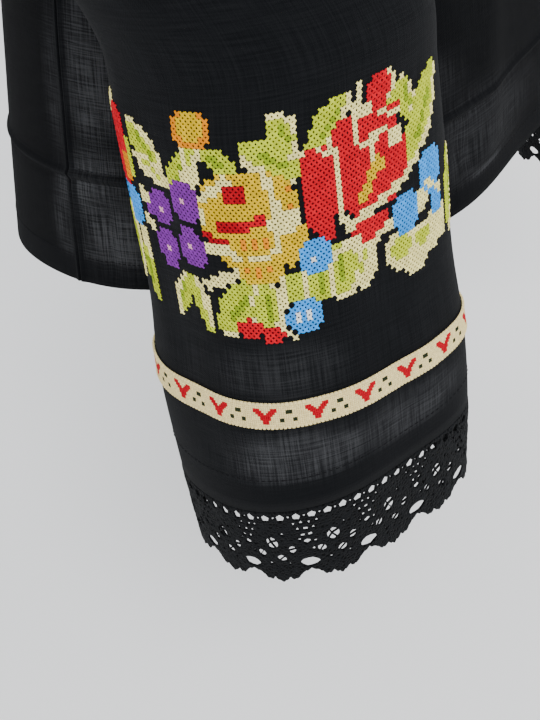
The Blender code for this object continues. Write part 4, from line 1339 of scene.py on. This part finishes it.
def makeBouquet(name, turnShare, left, seed, shapes):
    chart = bouquetChart(shapes)
    rows, columns = np.nonzero(chart >= 0)
    palette = np.array(list(threadColours.values()))
    share = bouquet["startShare"] + turnShare - columns / bouquet["stitchesRound"]
    along = bouquet["topAlong"] + bouquet["rowPitch"] * rows
    places, axes = sleevePlaces(share, along, np.full(len(share), bouquet["lift"]), left)
    colours = threadShades(palette[chart[rows, columns]], bouquet["shades"], seed)
    sizes = np.ones((len(share), 3))
    uneven = bouquet["unevenness"]
    return setCopies(name, stitchCross, places, axes, sizes, colours, stitchThread, uneven, seed)

bouquets = {}
for side in ("right", "left"):
    left = side == "left"
    innerShapes = bouquet["shapes"] + bouquet["innerShapes"]
    bouquets[side] = [
        makeBouquet("bouquet_" + side + "_outer", 0.0, left, 11, bouquet["shapes"]),
        makeBouquet("bouquet_" + side + "_inner", bouquet["innerShare"], left, 12, innerShapes),
    ]
print("cross-stitch made")

# Sewing: rows of small running stitches at the hems, the tape and the tuck

sewing = dict(pitch=3.4, size=(2.1, 0.42, 0.32), unevenness=0.1, sleeveRows=(400.6, 351.9, 368.1, 3.4),
              bodyRows=(-505.6, -452.6), bodyReach=0.985)

def setStitches(name, places, axes, seed):
    sizes = np.tile(sewing["size"], (len(places), 1))
    colours = np.zeros((len(places), 3))
    return setCopies(name, longStitch, places, axes, sizes, colours, blackThread, sewing["unevenness"], seed)

def makeSleeveSewing(name, left):
    count = int(sleeve["clothRound"] / sewing["pitch"])
    share = np.tile((np.arange(count) + 0.5) / count, len(sewing["sleeveRows"]))
    along = np.repeat(sewing["sleeveRows"], count)
    places, axes = sleevePlaces(share, along, np.zeros(len(share)), left)
    return setStitches(name, places, axes, 8)

def makeBodySewing(name):
    places, axes = [], []
    for front in (True, False):
        count = int(2 * body["roundMm"] / sewing["pitch"])
        columns = np.linspace(-sewing["bodyReach"], sewing["bodyReach"], count)
        creases = body["frontCreases"] if front else body["backCreases"]
        for z in sewing["bodyRows"]:
            grid = bodyGrid(front, columns, [z - 1.0, z, z + 1.0], [])
            normals = gridNormals(grid)[1]
            across = unitRows(np.gradient(grid[1], axis=0))
            across = unitRows(across - normals * np.sum(across * normals, axis=1, keepdims=True))
            calm = np.clip((1 - np.abs(columns)) / body["sideCalm"], 0, 1)
            height = creaseHeight(creases, columns * body["roundMm"], np.full(count, z)) * calm
            places.append(grid[1] + normals * height[:, None])
            axes.append(np.stack([across, np.cross(normals, across), normals], axis=1))
    return setStitches(name, np.concatenate(places), np.concatenate(axes), 9)

sleeveSewing = {side: makeSleeveSewing("sewing_" + side, side == "left") for side in ("right", "left")}
bodySewing = makeBodySewing("sewing_body")
print("sewing made")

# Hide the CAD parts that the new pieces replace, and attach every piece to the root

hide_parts("front_lower", "front_upper_right", "front_upper_left")
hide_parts("back_lower", "back_upper_right", "back_upper_left")
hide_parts("neck_binding")
for side in ("right", "left"):
    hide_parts("sleeve_" + side)
    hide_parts("tape_" + side)
    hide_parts("lace_" + side + "_outer", "lace_" + side + "_inner")
    rigid = (sleeves[side], tapes[side], tapeWeaves[side], laces[side], *bouquets[side], sleeveSewing[side])
    for piece in rigid:
        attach(piece, "root")
bodySlots = {frontPanel: "front", backPanel: "back", bindingPiece: "neck_binding", bodySewing: "front"}
for piece, slot in bodySlots.items():
    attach(piece, "root")
